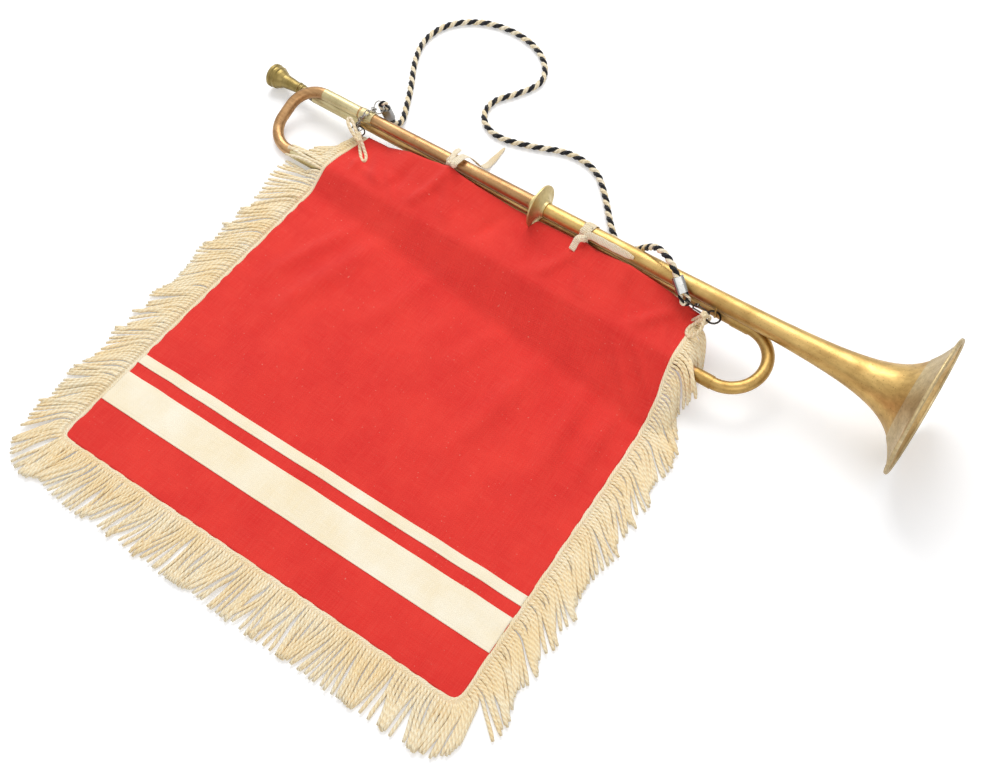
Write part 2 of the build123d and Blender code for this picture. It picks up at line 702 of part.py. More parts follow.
def draped(stations, thickness):
    """The draped sheet lofted straight between sections."""
    faces = []
    for x in stations:
        corners, radii = drape_corners(x, thickness)
        faces.append(upright(x) * make_face(strip_outline(corners, radii, thickness)))
    return loft(faces, ruled=True)


plan_points = [
    (58, -424), (54, -100), (53, -62), (56, -32), (65, -10), (70, 20), (442, 20), (446.5, -10), (448, -50),
    (453, -85), (459.5, -100), (474.8, -408)]
plan = make_face(Polyline(*plan_points, close=True))
low_corners = plan.vertices().sort_by(Axis.Y)[:2]
plan = fillet(low_corners, banner_corner_r)
cloth_stations = [48, 90, 119, 165, 200, 245, 300, 330, 372, 414, 440, 482]
boss_notch = horn * turned([
    (bell_seam_x - 8, 0), (bell_seam_x - 8, boss_hub_r + 2), (bell_seam_x - 3, boss_hub_r + 6),
    (bell_seam_x - 1.4, boss_r + boss_notch_gap), (bell_seam_x + 1.4, boss_r + boss_notch_gap),
    (bell_seam_x + 3, boss_hub_r + 6), (bell_seam_x + 8, boss_hub_r + 2), (bell_seam_x + 8, 0)])
cloth = (draped(cloth_stations, cloth_t) & extrude(plan, 90)) - boss_notch
save("banner_cloth", cloth)

# Two cotton bands sewn on the cloth, along its lower edge
low_edge = Vector(474.8 - 58, -408 + 424).normalized()
up_edge = Vector(-low_edge.Y, low_edge.X)
for name, rise, width in (
        ("banner_band_wide", band_rise, wide_band),
        ("banner_band_narrow", band_rise + wide_band + band_space, narrow_band)):
    corner = Vector(58, -424) - low_edge * 20 + up_edge * rise
    far = corner + low_edge * 460
    stripe = make_face(Polyline(corner, far, far + up_edge * width, corner + up_edge * width, close=True))
    band = extrude(Plane.XY.offset(cloth_t) * (stripe & plan), tape_t)
    save(name, band)

# Fringe: a header beside the cloth's edge and one strand after another along it
inner = offset(plan, 0.05, kind=Kind.ARC)
outer = offset(plan, 0.05 + header_w, kind=Kind.ARC)
edge_band = extrude(outer - inner, 90)
outer_wire = outer.wires()[0] if isinstance(outer, Sketch) else outer.outer_wire()
count = int(outer_wire.length / strand_pitch)
mid = Vector(260, -250)
roots = [outer_wire.position_at((k + 0.5) / count) for k in range(count)]
side_cut = {}
for name, sign in (("left", -1), ("right", 1)):
    levels = sorted(root.Y for root in roots if (root.X - mid.X) * sign > 150)
    above = min(level for level in levels if level > banner_low_y + 24)
    below = max(level for level in levels if level < above)
    side_cut[name] = (above + below) / 2
low_region = (Pos(mid.X - 200, side_cut["left"] - 150, 0) * Box(400, 300, 200)
              + Pos(mid.X + 200, side_cut["right"] - 150, 0) * Box(400, 300, 200))
regions = {
    "left": Pos(mid.X - 200, side_cut["left"] + 250, 0) * Box(400, 500, 200),
    "bottom": low_region,
    "right": Pos(mid.X + 200, side_cut["right"] + 250, 0) * Box(400, 500, 200)}
side_sheets = {"left": draped([30, 90], header_t), "right": draped([440, 482], header_t)}
headers = {
    "left": side_sheets["left"] & edge_band & regions["left"],
    "bottom": extrude(outer - inner, header_t) & regions["bottom"],
    "right": side_sheets["right"] & edge_band & regions["right"]}
long_sides = {
    "left": Vector(-326, -4).normalized(), "right": Vector(308, 15.3).normalized()}
strands = {"left": [], "bottom": [], "right": []}
for k in range(count):
    share = (k + 0.5) / count
    root, along = outer_wire.position_at(share), outer_wire.tangent_at(share)
    out = Vector(along.Y, -along.X)
    if (root - mid).dot(out) < 0:
        out = -out
    place = "left" if root.X < mid.X else "right"
    if root.Y < side_cut[place]:
        place = "bottom"
    if root.Y > -14.5:
        continue
    if place != "bottom":
        out = long_sides[place]
    elif abs(out.X) > 0.98:
        out = long_sides["left" if root.X < mid.X else "right"]
    sway = 1.5 * sin(2 * pi * share * outer_wire.length / 58)
    aim = (out * strand_len + Vector(-out.Y, out.X) * sway).normalized()
    high = header_t / 2
    low = header_t / 2
    if place != "bottom":
        corners, radii = drape_corners(max(31, min(root.X, 482)), header_t)
        guide = strip_outline(corners, radii, 0.002)
        for edge in guide[:7]:
            first, last = edge @ 0, edge @ 1
            if min(first.X, last.X) <= root.Y <= max(first.X, last.X):
                for step in range(200):
                    here = edge @ (step / 199)
                    if abs(here.X - root.Y) < 0.4 + (first - last).length / 199:
                        high = here.Y
                        break
    if abs(root.Y - low_y) < 8.5:
        tip_x = root.X + aim.X * strand_len
        low = near_height + low_z * cos(pitch) + tip_x * sin(pitch) + sleeve_r + header_t / 2 + 0.6
    reach = sqrt(max(strand_len ** 2 - (high - low) ** 2, 100))
    start = Vector(root.X, root.Y, high) - Vector(aim.X, aim.Y, 0)
    finish = Vector(root.X + aim.X * reach, root.Y + aim.Y * reach, low)
    line = finish - start
    section = Plane(origin=start, x_dir=(-aim.Y, aim.X, 0), z_dir=line) * Rectangle(strand_w, header_t - 0.1)
    strands[place].append(extrude(section, line.length))
for name, header in headers.items():
    body = header.fuse(*[strand.solid() for strand in strands[name]])
    print("fringe", name, len(strands[name]), "solids", len(body.solids()))
    save(f"fringe_{name}", body)

# Tape ties: a turn of cotton tape round both tubes, its knot and its ends in one piece
def tie_band(x, top_r):
    """One turn of tape round the bell's tube and the mouthpipe."""
    drop = -pipe_axis(x)[2]
    inner_r = top_r + tie_gap
    slot = SlotCenterToCenter(drop, 2 * (inner_r + tie_t)) - SlotCenterToCenter(drop, 2 * inner_r)
    ring_plane = Plane(origin=(x, 0, -drop / 2), x_dir=(0, 0, 1), z_dir=(1, 0, 0))
    return horn * extrude(ring_plane * slot, tie_width / 2, both=True)


def ball(x, y, z, radius):
    """A knot's round body."""
    return Location((x, y, z)) * Sphere(radius)


knot_r = 4.4
tail_w = 8.0
left_tie = tie_band(165, tube_radius(165))
left_tie += ball(170, -8.5, 46.5, knot_r)
long_tail = [(-9, 47.5), (3, 50.5), (18, 30), (38, 0.6), (72, 0.6)]
left_tie += tape(upright(173), long_tail, [5, 12, 12], 1.2, tail_w)
left_tie += tape(upright(162), [(-4, 45.0), (4, 46.6), (12, 43.5)], [12], 1.4, tail_w - 2)
left_tie += tape(upright(165), [(-8.5, 46), (-4.5, 47.2)], [], 1.6, tail_w)
save("tie_left", left_tie)
print("tie left", len(left_tie.solids()))

right_tie = tie_band(320, bell_radius(320))
right_tie += ball(321, -11.5, 50, knot_r)
right_tie += tape(upright(316), [(-11, 49.5), (-17, 47), (-23, 41.5)], [3], 1.2, tail_w)
lie_out = Location((0, 0, 0), (50, 0, 0)) * Location((347, 0, bell_radius(371) + 0.4 + 0.6)) * Box(50, 7, 1.2)
right_tie += horn * lie_out
save("tie_right", right_tie)
print("tie right", len(right_tie.solids()))

# Corner loops of cotton cord: a turn through each ring, a knot and flat loops that lie over the corner
loop_cord = 2.6


def cord_link(ring_point, outward, normal, radius, inset):
    """A turn of cotton cord through a ring."""
    centre = ring_point + outward * inset
    return Plane(origin=centre, z_dir=outward.cross(normal)) * Torus(radius, loop_cord / 2), centre


def flat_loop(start, finish, side, width):
    """A long closed loop of cotton cord between two points, as wide as given."""
    start, finish = Vector(*start), Vector(*finish)
    way = (finish - start).normalized()
    side = Vector(*side)
    side = (side - way * side.dot(way)).normalized()
    plane = Plane(origin=start, x_dir=way, z_dir=way.cross(side))
    length = (finish - start).length
    half = width / 2
    outline = Wire([
        Line((half, half), (length - half, half)),
        ThreePointArc((length - half, half), (length, 0), (length - half, -half)),
        Line((length - half, -half), (half, -half)),
        ThreePointArc((half, -half), (0, 0), (half, half))])
    section = Plane(origin=(half, half, 0), z_dir=(1, 0, 0)) * Circle(loop_cord / 2)
    return plane * sweep(section, path=outline)


left_out = (banner_ring_far - banner_ring_at).normalized()
left_normal = banner_ring_axis.cross(left_out).normalized()
left_turn, left_turn_at = cord_link(banner_ring_far, left_out, left_normal, 4.6, 2.2)
left_knot = left_turn_at + left_out * 5.0 + Vector(0, 0, 1.2)
left_loops = left_turn + Location(tuple(left_knot)) * Sphere(2.9)
left_loops += flat_loop(tuple(left_knot), (75.0, -37.0, 19.6), (1, 1, 0), 6.5)
left_loops += flat_loop(tuple(left_knot + Vector(-1.5, -1.0, 0)), (42.0, -13.5, 31.0), (0.2, 1, 0.2), 6.0)
save("corner_loops_left", left_loops)
print("corner left", len(left_loops.solids()))
say("left knot", left_knot)

right_out = Vector(-0.5, -0.866, 0)
right_far = hang_centre + right_out * hang_ring_r
right_turn, right_turn_at = cord_link(right_far, right_out, Vector(0, 0, 1), 5.4, 2.1)
right_knot = right_turn_at + Vector(-1.7, 0.5, 6.4)
right_loop_piece = right_turn + Location(tuple(right_knot)) * Sphere(3.8)
right_loop_at = tuple(right_knot + Vector(0.6, -1.4, -0.9))
right_loop_piece += flat_loop(right_loop_at, (454.5, -36.0, 39.5), (1, 0.25, 0), 8.0)
right_loop_piece += bar(tuple(right_knot), (445.0, -19.0, 36.05), loop_cord / 2)
save("corner_loop_right", right_loop_piece)
print("corner right", len(right_loop_piece.solids()))
say("right knot", right_knot)

# The part's box without the cord and the pieces on it, for the place of the origin
off_box = {"carry_cord", "cord_ferrule_left", "cord_ferrule_right", "cord_loop_left", "cord_loop_right"}
solid_box = Compound(children=[shape for name, shape in placed.items() if name not in off_box]).bounding_box()
print("middle", round(solid_box.center().X, 3), round(solid_box.center().Y, 3),
      "low", round(solid_box.min.Z, 3),
      "size", *[round(v, 2) for v in solid_box.size])
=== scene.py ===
import math
import bpy
import bmesh
from mathutils import Matrix, Vector
from mathutils.bvhtree import BVHTree


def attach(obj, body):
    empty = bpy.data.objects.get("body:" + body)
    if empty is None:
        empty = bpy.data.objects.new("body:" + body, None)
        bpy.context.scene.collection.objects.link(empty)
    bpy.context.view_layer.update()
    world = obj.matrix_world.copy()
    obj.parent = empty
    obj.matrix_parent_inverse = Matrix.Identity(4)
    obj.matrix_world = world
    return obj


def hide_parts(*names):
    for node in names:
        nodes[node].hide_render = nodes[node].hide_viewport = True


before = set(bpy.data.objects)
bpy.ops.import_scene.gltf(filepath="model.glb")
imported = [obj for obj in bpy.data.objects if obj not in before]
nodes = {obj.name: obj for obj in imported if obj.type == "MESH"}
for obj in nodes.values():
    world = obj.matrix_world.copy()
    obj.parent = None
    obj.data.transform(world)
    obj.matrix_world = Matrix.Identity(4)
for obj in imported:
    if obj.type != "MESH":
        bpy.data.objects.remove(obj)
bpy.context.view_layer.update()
bpy.context.scene.view_settings.view_transform = "Standard"


# The table top: white melamine-coated board, pressed smooth, that the trumpet lies on.
# It is the stage, and shows the soft shadows of the tubes and the banner.
def srgb(code):
    """A hex colour as the linear one that the shader takes."""
    parts = [int(code[k:k + 2], 16) / 255 for k in (0, 2, 4)]
    return [p / 12.92 if p <= 0.04045 else ((p + 0.055) / 1.055) ** 2.4 for p in parts] + [1.0]


def new_material(name):
    """A material with no nodes but its output."""
    material = bpy.data.materials.new(name)
    material.use_nodes = True
    material.node_tree.nodes.clear()
    return material


def add(tree, kind, sockets=None, **settings):
    """Adds a node with its settings; each socket gets a value or another node's output."""
    node = tree.nodes.new(kind)
    for name, value in settings.items():
        setattr(node, name, value)
    for name, value in (sockets or {}).items():
        if isinstance(value, bpy.types.NodeSocket):
            tree.links.new(value, node.inputs[name])
        else:
            node.inputs[name].default_value = value
    return node


def piece(name, mesh, material, body="horn"):
    """Puts a finished mesh or curve in the scene, with its material and body."""
    made = bpy.data.objects.new(name, mesh)
    bpy.context.scene.collection.objects.link(made)
    made.data.materials.clear()
    made.data.materials.append(material)
    if isinstance(mesh, bpy.types.Mesh):
        for face in mesh.polygons:
            face.use_smooth = True
    if body:
        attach(made, body)
    return made


melamine = new_material("melamine board, white")
tree = melamine.node_tree
path = add(tree, "ShaderNodeLightPath")
seen = add(tree, "ShaderNodeMath", {0: path.outputs["Is Camera Ray"], 1: path.outputs["Is Glossy Ray"]},
           operation="ADD")
matt = add(tree, "ShaderNodeBsdfDiffuse", {"Color": srgb("efeff0")})
lift = add(tree, "ShaderNodeEmission", {"Color": srgb("ffffff"), "Strength": 0.30})
both = add(tree, "ShaderNodeAddShader", {0: matt.outputs[0], 1: lift.outputs[0]})
mix = add(tree, "ShaderNodeMixShader", {0: seen.outputs[0], 1: matt.outputs[0], 2: both.outputs[0]})
add(tree, "ShaderNodeOutputMaterial", {"Surface": mix.outputs[0]})
shape = bmesh.new()
bmesh.ops.create_grid(shape, x_segments=1, y_segments=1, size=4.0)
bmesh.ops.translate(shape, verts=shape.verts, vec=(0, 0, -0.0004))
board = bpy.data.meshes.new("table")
shape.to_mesh(board)
piece("table", board, melamine, body=None)

# Studio light: one large soft box above and behind, a weaker one in front, and a pale room.
# The room is white where the camera or a mirror-like surface sees it.
world = bpy.data.worlds.new("studio")
bpy.context.scene.world = world
world.use_nodes = True
world.node_tree.nodes.clear()
tree = world.node_tree
path = add(tree, "ShaderNodeLightPath")
sight = add(tree, "ShaderNodeMath", {0: path.outputs["Is Camera Ray"], 1: path.outputs["Is Transmission Ray"]},
            operation="ADD")
ray = add(tree, "ShaderNodeTexCoord")
height = add(tree, "ShaderNodeSeparateXYZ", {0: ray.outputs["Generated"]})
room = add(tree, "ShaderNodeValToRGB", {0: height.outputs["Z"]})
room.color_ramp.elements[0].position = 0.05
room.color_ramp.elements[0].color = srgb("bdbdba")
room.color_ramp.elements[1].position = 0.6
room.color_ramp.elements[1].color = srgb("ffffff")
soft = add(tree, "ShaderNodeBackground", {"Color": srgb("ffffff"), "Strength": 0.54})
shiny = add(tree, "ShaderNodeBackground", {"Color": room.outputs[0], "Strength": 1.15})
white = add(tree, "ShaderNodeBackground", {"Color": srgb("ffffff"), "Strength": 1.0})
first = add(tree, "ShaderNodeMixShader", {0: path.outputs["Is Glossy Ray"], 1: soft.outputs[0], 2: shiny.outputs[0]})
last = add(tree, "ShaderNodeMixShader", {0: sight.outputs[0], 1: first.outputs[0], 2: white.outputs[0]})
add(tree, "ShaderNodeOutputWorld", {"Surface": last.outputs[0]})
for name, place, aim, size, power in (
        ("soft box, back", (-0.9, 1.3, 1.9), (0, 0, 0), 1.6, 37),
        ("soft box, front", (1.5, -1.6, 1.8), (0, -0.1, 0), 1.4, 14)):
    lamp = bpy.data.lights.new(name, "AREA")
    lamp.shape, lamp.size, lamp.energy = "SQUARE", size, power
    box = bpy.data.objects.new(name, lamp)
    bpy.context.scene.collection.objects.link(box)
    box.matrix_world = Matrix.Translation(place) @ (Vector(place) - Vector(aim)).to_track_quat("Z", "Y").to_matrix().to_4x4()

# The camera stands at the right, in front of the banner, and looks down on the trumpet.
lens = bpy.data.cameras.new("camera")
lens.sensor_fit, lens.sensor_width, lens.lens = "HORIZONTAL", 36.0, 43.59
lens.clip_start = 0.01
camera = bpy.data.objects.new("camera", lens)
bpy.context.scene.collection.objects.link(camera)
camera.location = (0.36529, -0.40217, 0.9187)
camera.rotation_euler = (math.radians(90 - 59.07), 0, math.radians(36.22))
bpy.context.scene.camera = camera

# Carrying cord: two soft cotton plies, one black and one cream, laid up into a 6.6 mm cord.
# It leaves the flat ferrule behind the sleeves, lies in loose curves and climbs over the bell.
def soft_line(points, step):
    """The smooth NURBS line that a cord takes through these control points, as points a step apart."""
    curve = bpy.data.curves.new("line", "CURVE")
    curve.dimensions = "3D"
    curve.resolution_u = 16
    spline = curve.splines.new("NURBS")
    spline.points.add(len(points) - 1)
    for point, place in zip(spline.points, points):
        point.co = (*place, 1.0)
    spline.order_u = 3
    spline.use_endpoint_u = True
    holder = bpy.data.objects.new("line", curve)
    mesh = bpy.data.meshes.new_from_object(holder)
    close = [v.co.copy() for v in mesh.vertices]
    bpy.data.objects.remove(holder)
    bpy.data.meshes.remove(mesh)
    whole = sum((b - a).length for a, b in zip(close, close[1:]))
    count = max(2, round(whole / step))
    even, walked, k = [close[0]], 0.0, 0
    for n in range(1, count):
        goal = whole * n / count
        while walked + (close[k + 1] - close[k]).length < goal:
            walked += (close[k + 1] - close[k]).length
            k += 1
        even.append(close[k].lerp(close[k + 1], (goal - walked) / (close[k + 1] - close[k]).length))
    return even + [close[-1]]


def directions(line, closed=False):
    """The line's own heading at each of its points."""
    last = len(line) - 1
    if closed:
        return [(line[(k + 1) % (last + 1)] - line[k - 1]).normalized() for k in range(last + 1)]
    return [(line[min(k + 1, last)] - line[max(k - 1, 0)]).normalized() for k in range(last + 1)]


def lay_up(shape, line, wide, thick, side=None, sides=8, closed=False):
    """Rolls a grid into an oval sleeve along a line: wide towards side, thick across it.

    wide, thick and side are one value, or a list with one for each point. The attribute lay keeps
    the length walked and the place round the sleeve, which the yarns' twist follows."""
    count = len(line)
    wide = wide if isinstance(wide, list) else [wide] * count
    thick = thick if isinstance(thick, list) else [thick] * count
    side = side if isinstance(side, list) else [side] * count
    ways = directions(line, closed)
    across = ways[0].orthogonal()
    frames = []
    for way, toward in zip(ways, side):
        across = Vector(toward) if toward else across
        across = (across - way * across.dot(way)).normalized()
        frames.append((across, way.cross(across)))
    if closed:
        line, frames = line + [line[0]], frames + [frames[0]]
        wide, thick, count = wide + [wide[0]], thick + [thick[0]], count + 1
    walked = [0.0]
    for a, b in zip(line, line[1:]):
        walked.append(walked[-1] + (b - a).length)
    run = bmesh.new()
    lay = run.verts.layers.float_vector.new("lay")
    bmesh.ops.create_grid(run, x_segments=count - 1, y_segments=sides, size=0.5)
    for v in run.verts:
        k = round((v.co.x + 0.5) * (count - 1))
        turn = 2 * math.pi * (v.co.y + 0.5)
        u, w = math.cos(turn), math.sin(turn)
        v[lay] = (walked[k], u, w)
        v.co = line[k] + frames[k][0] * (u * wide[k] / 2) + frames[k][1] * (w * thick[k] / 2)
    bmesh.ops.remove_doubles(run, verts=run.verts, dist=1e-7)
    bmesh.ops.holes_fill(run, edges=[e for e in run.edges if e.is_boundary], sides=0)
    bmesh.ops.recalc_face_normals(run, faces=run.faces)
    made = bpy.data.meshes.new("run")
    run.to_mesh(made)
    shape.from_mesh(made)
    bpy.data.meshes.remove(made)


def finished(name, shape, material, body="horn"):
    """Turns a bmesh into a piece of the scene."""
    mesh = bpy.data.meshes.new(name)
    shape.to_mesh(mesh)
    shape.free()
    return piece(name, mesh, material, body)


# Cotton: combed yarn, twisted and soft, so it scatters light and shows a matt, faintly fuzzy face.
# The yarn's twist is drawn at its real pitch, with painted shade in the grooves between the yarns; the single fibres
# are too fine to show.
def cotton_yarn(name, pale, shade, groove_shade_colour, pitch, starts, groove_shade_depth):
    """Twisted cotton, whose yarns go round the sleeve once in each pitch, with painted shade darkening the grooves
    between them.
    """
    material = new_material(name)
    tree = material.node_tree
    lay = add(tree, "ShaderNodeAttribute", attribute_name="lay")
    place = add(tree, "ShaderNodeSeparateXYZ", {0: lay.outputs["Vector"]})
    turn = add(tree, "ShaderNodeMath", {0: place.outputs["Z"], 1: place.outputs["Y"]}, operation="ARCTAN2")
    walk = add(tree, "ShaderNodeMath", {0: place.outputs["X"], 1: 2 * math.pi / pitch}, operation="MULTIPLY")
    rounds = add(tree, "ShaderNodeMath", {0: turn.outputs[0], 1: float(starts), 2: walk.outputs[0]},
                 operation="MULTIPLY_ADD")
    wave = add(tree, "ShaderNodeMath", {0: rounds.outputs[0]}, operation="SINE")
    ridge = add(tree, "ShaderNodeMapRange", {"Value": wave.outputs[0], "From Min": -1.0, "From Max": 0.6})
    here = add(tree, "ShaderNodeTexCoord")
    fluff = add(tree, "ShaderNodeTexNoise", {"Vector": here.outputs["Object"], "Scale": 900.0, "Detail": 3.0})
    blotch = add(tree, "ShaderNodeTexNoise", {"Vector": here.outputs["Object"], "Scale": 28.0, "Detail": 2.0})
    mixed = add(tree, "ShaderNodeMath", {0: blotch.outputs[0], 1: fluff.outputs[0]}, operation="ADD")
    share = add(tree, "ShaderNodeMapRange", {"Value": mixed.outputs[0], "From Min": 0.8, "From Max": 1.25})
    tone = add(tree, "ShaderNodeMix", {"Factor": share.outputs[0], 6: srgb(pale), 7: srgb(shade)},
               data_type="RGBA")
    # Painted shade: the grooves between the twisted yarns are mixed towards the groove shade colour, standing in for
    # the shade that falls in them.
    dark = add(tree, "ShaderNodeMapRange", {"Value": ridge.outputs[0], "To Min": groove_shade_depth, "To Max": 0.0})
    colour = add(tree, "ShaderNodeMix", {"Factor": dark.outputs[0], 6: tone.outputs[2], 7: srgb(groove_shade_colour)},
                 data_type="RGBA")
    height = add(tree, "ShaderNodeMath", {0: fluff.outputs[0], 1: 0.35, 2: ridge.outputs[0]},
                 operation="MULTIPLY_ADD")
    relief = add(tree, "ShaderNodeBump", {"Height": height.outputs[0], "Strength": 0.7, "Distance": 0.0005})
    cloth = add(tree, "ShaderNodeBsdfPrincipled", {
        "Base Color": colour.outputs[2], "Roughness": 0.92, "Specular IOR Level": 0.25, "Sheen Weight": 0.25,
        "Sheen Roughness": 0.5, "Normal": relief.outputs[0]})
    add(tree, "ShaderNodeOutputMaterial", {"Surface": cloth.outputs[0]})
    return material


# The fourth colour of each cotton is painted shade, darkening the grooves between its twisted yarns.
cream_ply = cotton_yarn("combed cotton ply, cream", "fdf3dc", "f3e0b6", "b99a66", 0.0042, 2, 0.35)
black_ply = cotton_yarn("combed cotton ply, black", "19191d", "26262c", "0a0a0c", 0.0042, 2, 0.5)
route = [
    (-0.22138, 0.21633, 0.0332), (-0.21844, 0.22045, 0.0143), (-0.21951, 0.23433, 0.0034),
    (-0.23001, 0.25533, 0.0033), (-0.24551, 0.28333, 0.0033), (-0.26351, 0.31033, 0.0033),
    (-0.27651, 0.34333, 0.0033), (-0.26951, 0.37833, 0.0033), (-0.23951, 0.40433, 0.0033),
    (-0.19651, 0.41133, 0.0033), (-0.15751, 0.39933, 0.0033), (-0.13451, 0.36933, 0.0033),
    (-0.14651, 0.33933, 0.0033), (-0.16451, 0.31433, 0.0033), (-0.15851, 0.28833, 0.0033),
    (-0.13251, 0.27533, 0.0033), (-0.09551, 0.28633, 0.0033), (-0.05851, 0.30433, 0.0033),
    (-0.02351, 0.30033, 0.0033), (0.00149, 0.27733, 0.0033), (0.02949, 0.24533, 0.0033),
    (0.04849, 0.22983, 0.0060), (0.06449, 0.22033, 0.0240), (0.07949, 0.21533, 0.0460),
    (0.09349, 0.21033, 0.0650), (0.10749, 0.20383, 0.0706), (0.12117, 0.19623, 0.0701),
    (0.13296, 0.18993, 0.0592)]
curve = bpy.data.curves.new("carrying cord core", "CURVE")
curve.dimensions = "3D"
curve.resolution_u = 16
curve.bevel_depth = 0.00235
curve.bevel_resolution = 2
curve.use_fill_caps = True
spline = curve.splines.new("NURBS")
spline.points.add(len(route) - 1)
for point, place in zip(spline.points, route):
    point.co = (*place, 1.0)
spline.order_u = 3
spline.use_endpoint_u = True
core_yarn = new_material("cotton core, black")
tree = core_yarn.node_tree
here = add(tree, "ShaderNodeTexCoord")
fluff = add(tree, "ShaderNodeTexNoise", {"Vector": here.outputs["Object"], "Scale": 700.0, "Detail": 2.0})
tone = add(tree, "ShaderNodeMix", {"Factor": fluff.outputs[0], 6: srgb("141416"), 7: srgb("2c2a2a")},
           data_type="RGBA")
cloth = add(tree, "ShaderNodeBsdfPrincipled", {"Base Color": tone.outputs[2], "Roughness": 0.95})
add(tree, "ShaderNodeOutputMaterial", {"Surface": cloth.outputs[0]})
cord = piece("carrying_cord_core", curve, core_yarn)
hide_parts("carry_cord")
lay_pitch = 0.0145
line = soft_line(route, 0.0009)
ways = directions(line)
across = ways[0].orthogonal().normalized()
frames = []
for way in ways:
    across = (across - way * across.dot(way)).normalized()
    frames.append((across, way.cross(across)))
for name, start, thick, off, material in (
        ("cream", 0.0, 0.0044, 0.00118, cream_ply), ("black", math.pi, 0.0035, 0.0015, black_ply)):
    ply, walked = [], 0.0
    for k, place in enumerate(line):
        walked += (line[k] - line[k - 1]).length if k else 0.0
        turn = start - 2 * math.pi * walked / lay_pitch
        ply.append(place + (frames[k][0] * math.cos(turn) + frames[k][1] * math.sin(turn)) * off)
    shape = bmesh.new()
    lay_up(shape, ply, thick, thick, sides=10)
    finished("carrying_cord_ply_" + name, shape, material)

# Cord ends: each end of the cord is doubled back as a thinner loop and held in a flat ferrule.
# The left loop goes through the ring on the chain, the right one through the snap hook's eye.
for side, top, into, through, reach in (
        ("left", (-222.285, 215.073, 38.992), (0.15, 0.21, -0.9661), (-0.6913, 0.5323, 0.4886), 8.6),
        ("right", (137.066, 187.736, 55.452), (-0.685, 0.366, 0.63), (0.3727, -0.567, 0.7346), 10.4)):
    top, into, through = Vector(top), Vector(into).normalized(), Vector(through)
    wide = through.cross(into).normalized()
    bend = [(-2.45, 4.0), (-2.45, 1.0), (-2.9, -3.0), (-3.2, -reach + 0.4), (-1.8, -reach), (0, -reach),
            (1.8, -reach), (3.2, -reach + 0.4), (2.9, -3.0), (2.45, 1.0), (2.45, 4.0)]
    line = soft_line([(top + wide * u + into * w) / 1000 for u, w in bend], 0.0006)
    ways = directions(line)
    for name, start, material in (("cream", 0.0, cream_ply), ("black", math.pi, black_ply)):
        across, ply, walked = ways[0].orthogonal().normalized(), [], 0.0
        for k, (place, way) in enumerate(zip(line, ways)):
            across = (across - way * across.dot(way)).normalized()
            walked += (line[k] - line[k - 1]).length if k else 0.0
            turn = start - 2 * math.pi * walked / 0.0105
            ply.append(place + (across * math.cos(turn) + way.cross(across) * math.sin(turn)) * 0.00108)
        shape = bmesh.new()
        lay_up(shape, ply, 0.0024, 0.0024, sides=10)
        made = finished(f"cord_end_{side}_{name}", shape, material)
        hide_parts(f"cord_loop_{side}")

# Banner: one piece of plain-woven red cotton, hemmed all round and tied along the two tubes.
# It sags from them, rides over the lower tube and lies on the table with a few soft folds.
def at(x, y, z):
    """A point in mm along the trumpet, across it and above the table, in the frame's metres."""
    return Vector((x - 289.51, y + 201.33, z)) / 1000


solid = bmesh.new()
solid.from_mesh(nodes["banner_cloth"].data)
bmesh.ops.remove_doubles(solid, verts=solid.verts, dist=1e-6)
cloth_tree = BVHTree.FromBMesh(solid)
solid.free()


def cloth_top(x, y):
    """Height in mm of the cloth's upper face at a place along and across the trumpet."""
    high = at(x, y, 200)
    found = cloth_tree.ray_cast(high, Vector((0, 0, -1)))[0]
    for inset in (1, 2, 4, 7, 11):
        if found:
            break
        toward = (at(258, -215, 200) - high).normalized() * (inset / 1000)
        found = cloth_tree.ray_cast(high + toward, Vector((0, 0, -1)))[0]
    return found.z * 1000


# Each fold is a soft ridge from one place to another: ends, width and height in mm.
folds = [
    ((168, -14), (150, -62), 9, 2.6), ((168, -14), (196, -60), 11, 2.2), ((150, -100), (118, -215), 17, 3.2),
    ((118, -100), (86, -190), 13, 2.6), ((84, -22), (112, -60), 10, 2.4), ((74, -30), (78, -60), 7, 1.8),
    ((215, -104), (196, -176), 15, 1.9), ((322, -14), (300, -62), 10, 2.4), ((322, -14), (352, -60), 11, 2.6),
    ((380, -24), (398, -62), 9, -2.2), ((352, -122), (338, -230), 18, 3.4), ((398, -118), (412, -214), 15, 3.6),
    ((432, -122), (440, -196), 12, 2.8), ((300, -118), (286, -172), 15, 1.8), ((430, -20), (404, -56), 9, 2.8),
    ((238, -20), (226, -58), 12, -2.0), ((280, -22), (286, -58), 12, -1.6), ((130, -22), (124, -58), 10, -1.8),
    ((250, -128), (262, -196), 20, 1.6), ((372, -236), (380, -322), 22, 1.3), ((160, -236), (136, -330), 24, 1.3),
    ((412, -66), (446, -96), 4, 1.5), ((404, -80), (438, -114), 5, 1.6), ((424, -38), (441, -58), 4, 1.2),
         ((70, -44), (110, -52), 5, 1.5), ((108, -36), (138, -66), 5, 1.6), ((100, -300), (88, -370), 18, 1.0), ((420, -270), (436, -350), 20, 1.2), ((260, -300), (268, -376), 26, 0.9)]


def fold_rise(x, y):
    """How far the folds lift the cloth at a place, in mm."""
    rise = 0.0
    for (ax, ay), (bx, by), width, height in folds:
        dx, dy = bx - ax, by - ay
        share = ((x - ax) * dx + (y - ay) * dy) / (dx * dx + dy * dy)
        if -0.3 < share < 1.3:
            off = abs((x - ax) * dy - (y - ay) * dx) / math.hypot(dx, dy)
            fade = max(0.0, 1 - (2 * share - 1) ** 2 / 2.56) ** 1.5
            rise += 1.5 * height * fade * math.exp(-(off / width * 1.5) ** 2)
    over_tube = math.exp(-((y + 63.4) / 7.0) ** 2)
    rise *= 1 - over_tube
    left, right, low = x - 55.5, 467 + (y + 250) * -0.055 - x, y + 423.5 - 0.0384 * (x - 58)
    if y < -105:
        for inside, run in ((left, y), (right, y + 7), (low, x)):
            pucker = 0.5 + 0.5 * math.sin(run / 3.6 + 1.7 * math.sin(run / 17))
            rise += 0.9 * pucker * math.exp(-max(inside, 0.0) / 13)
    return rise


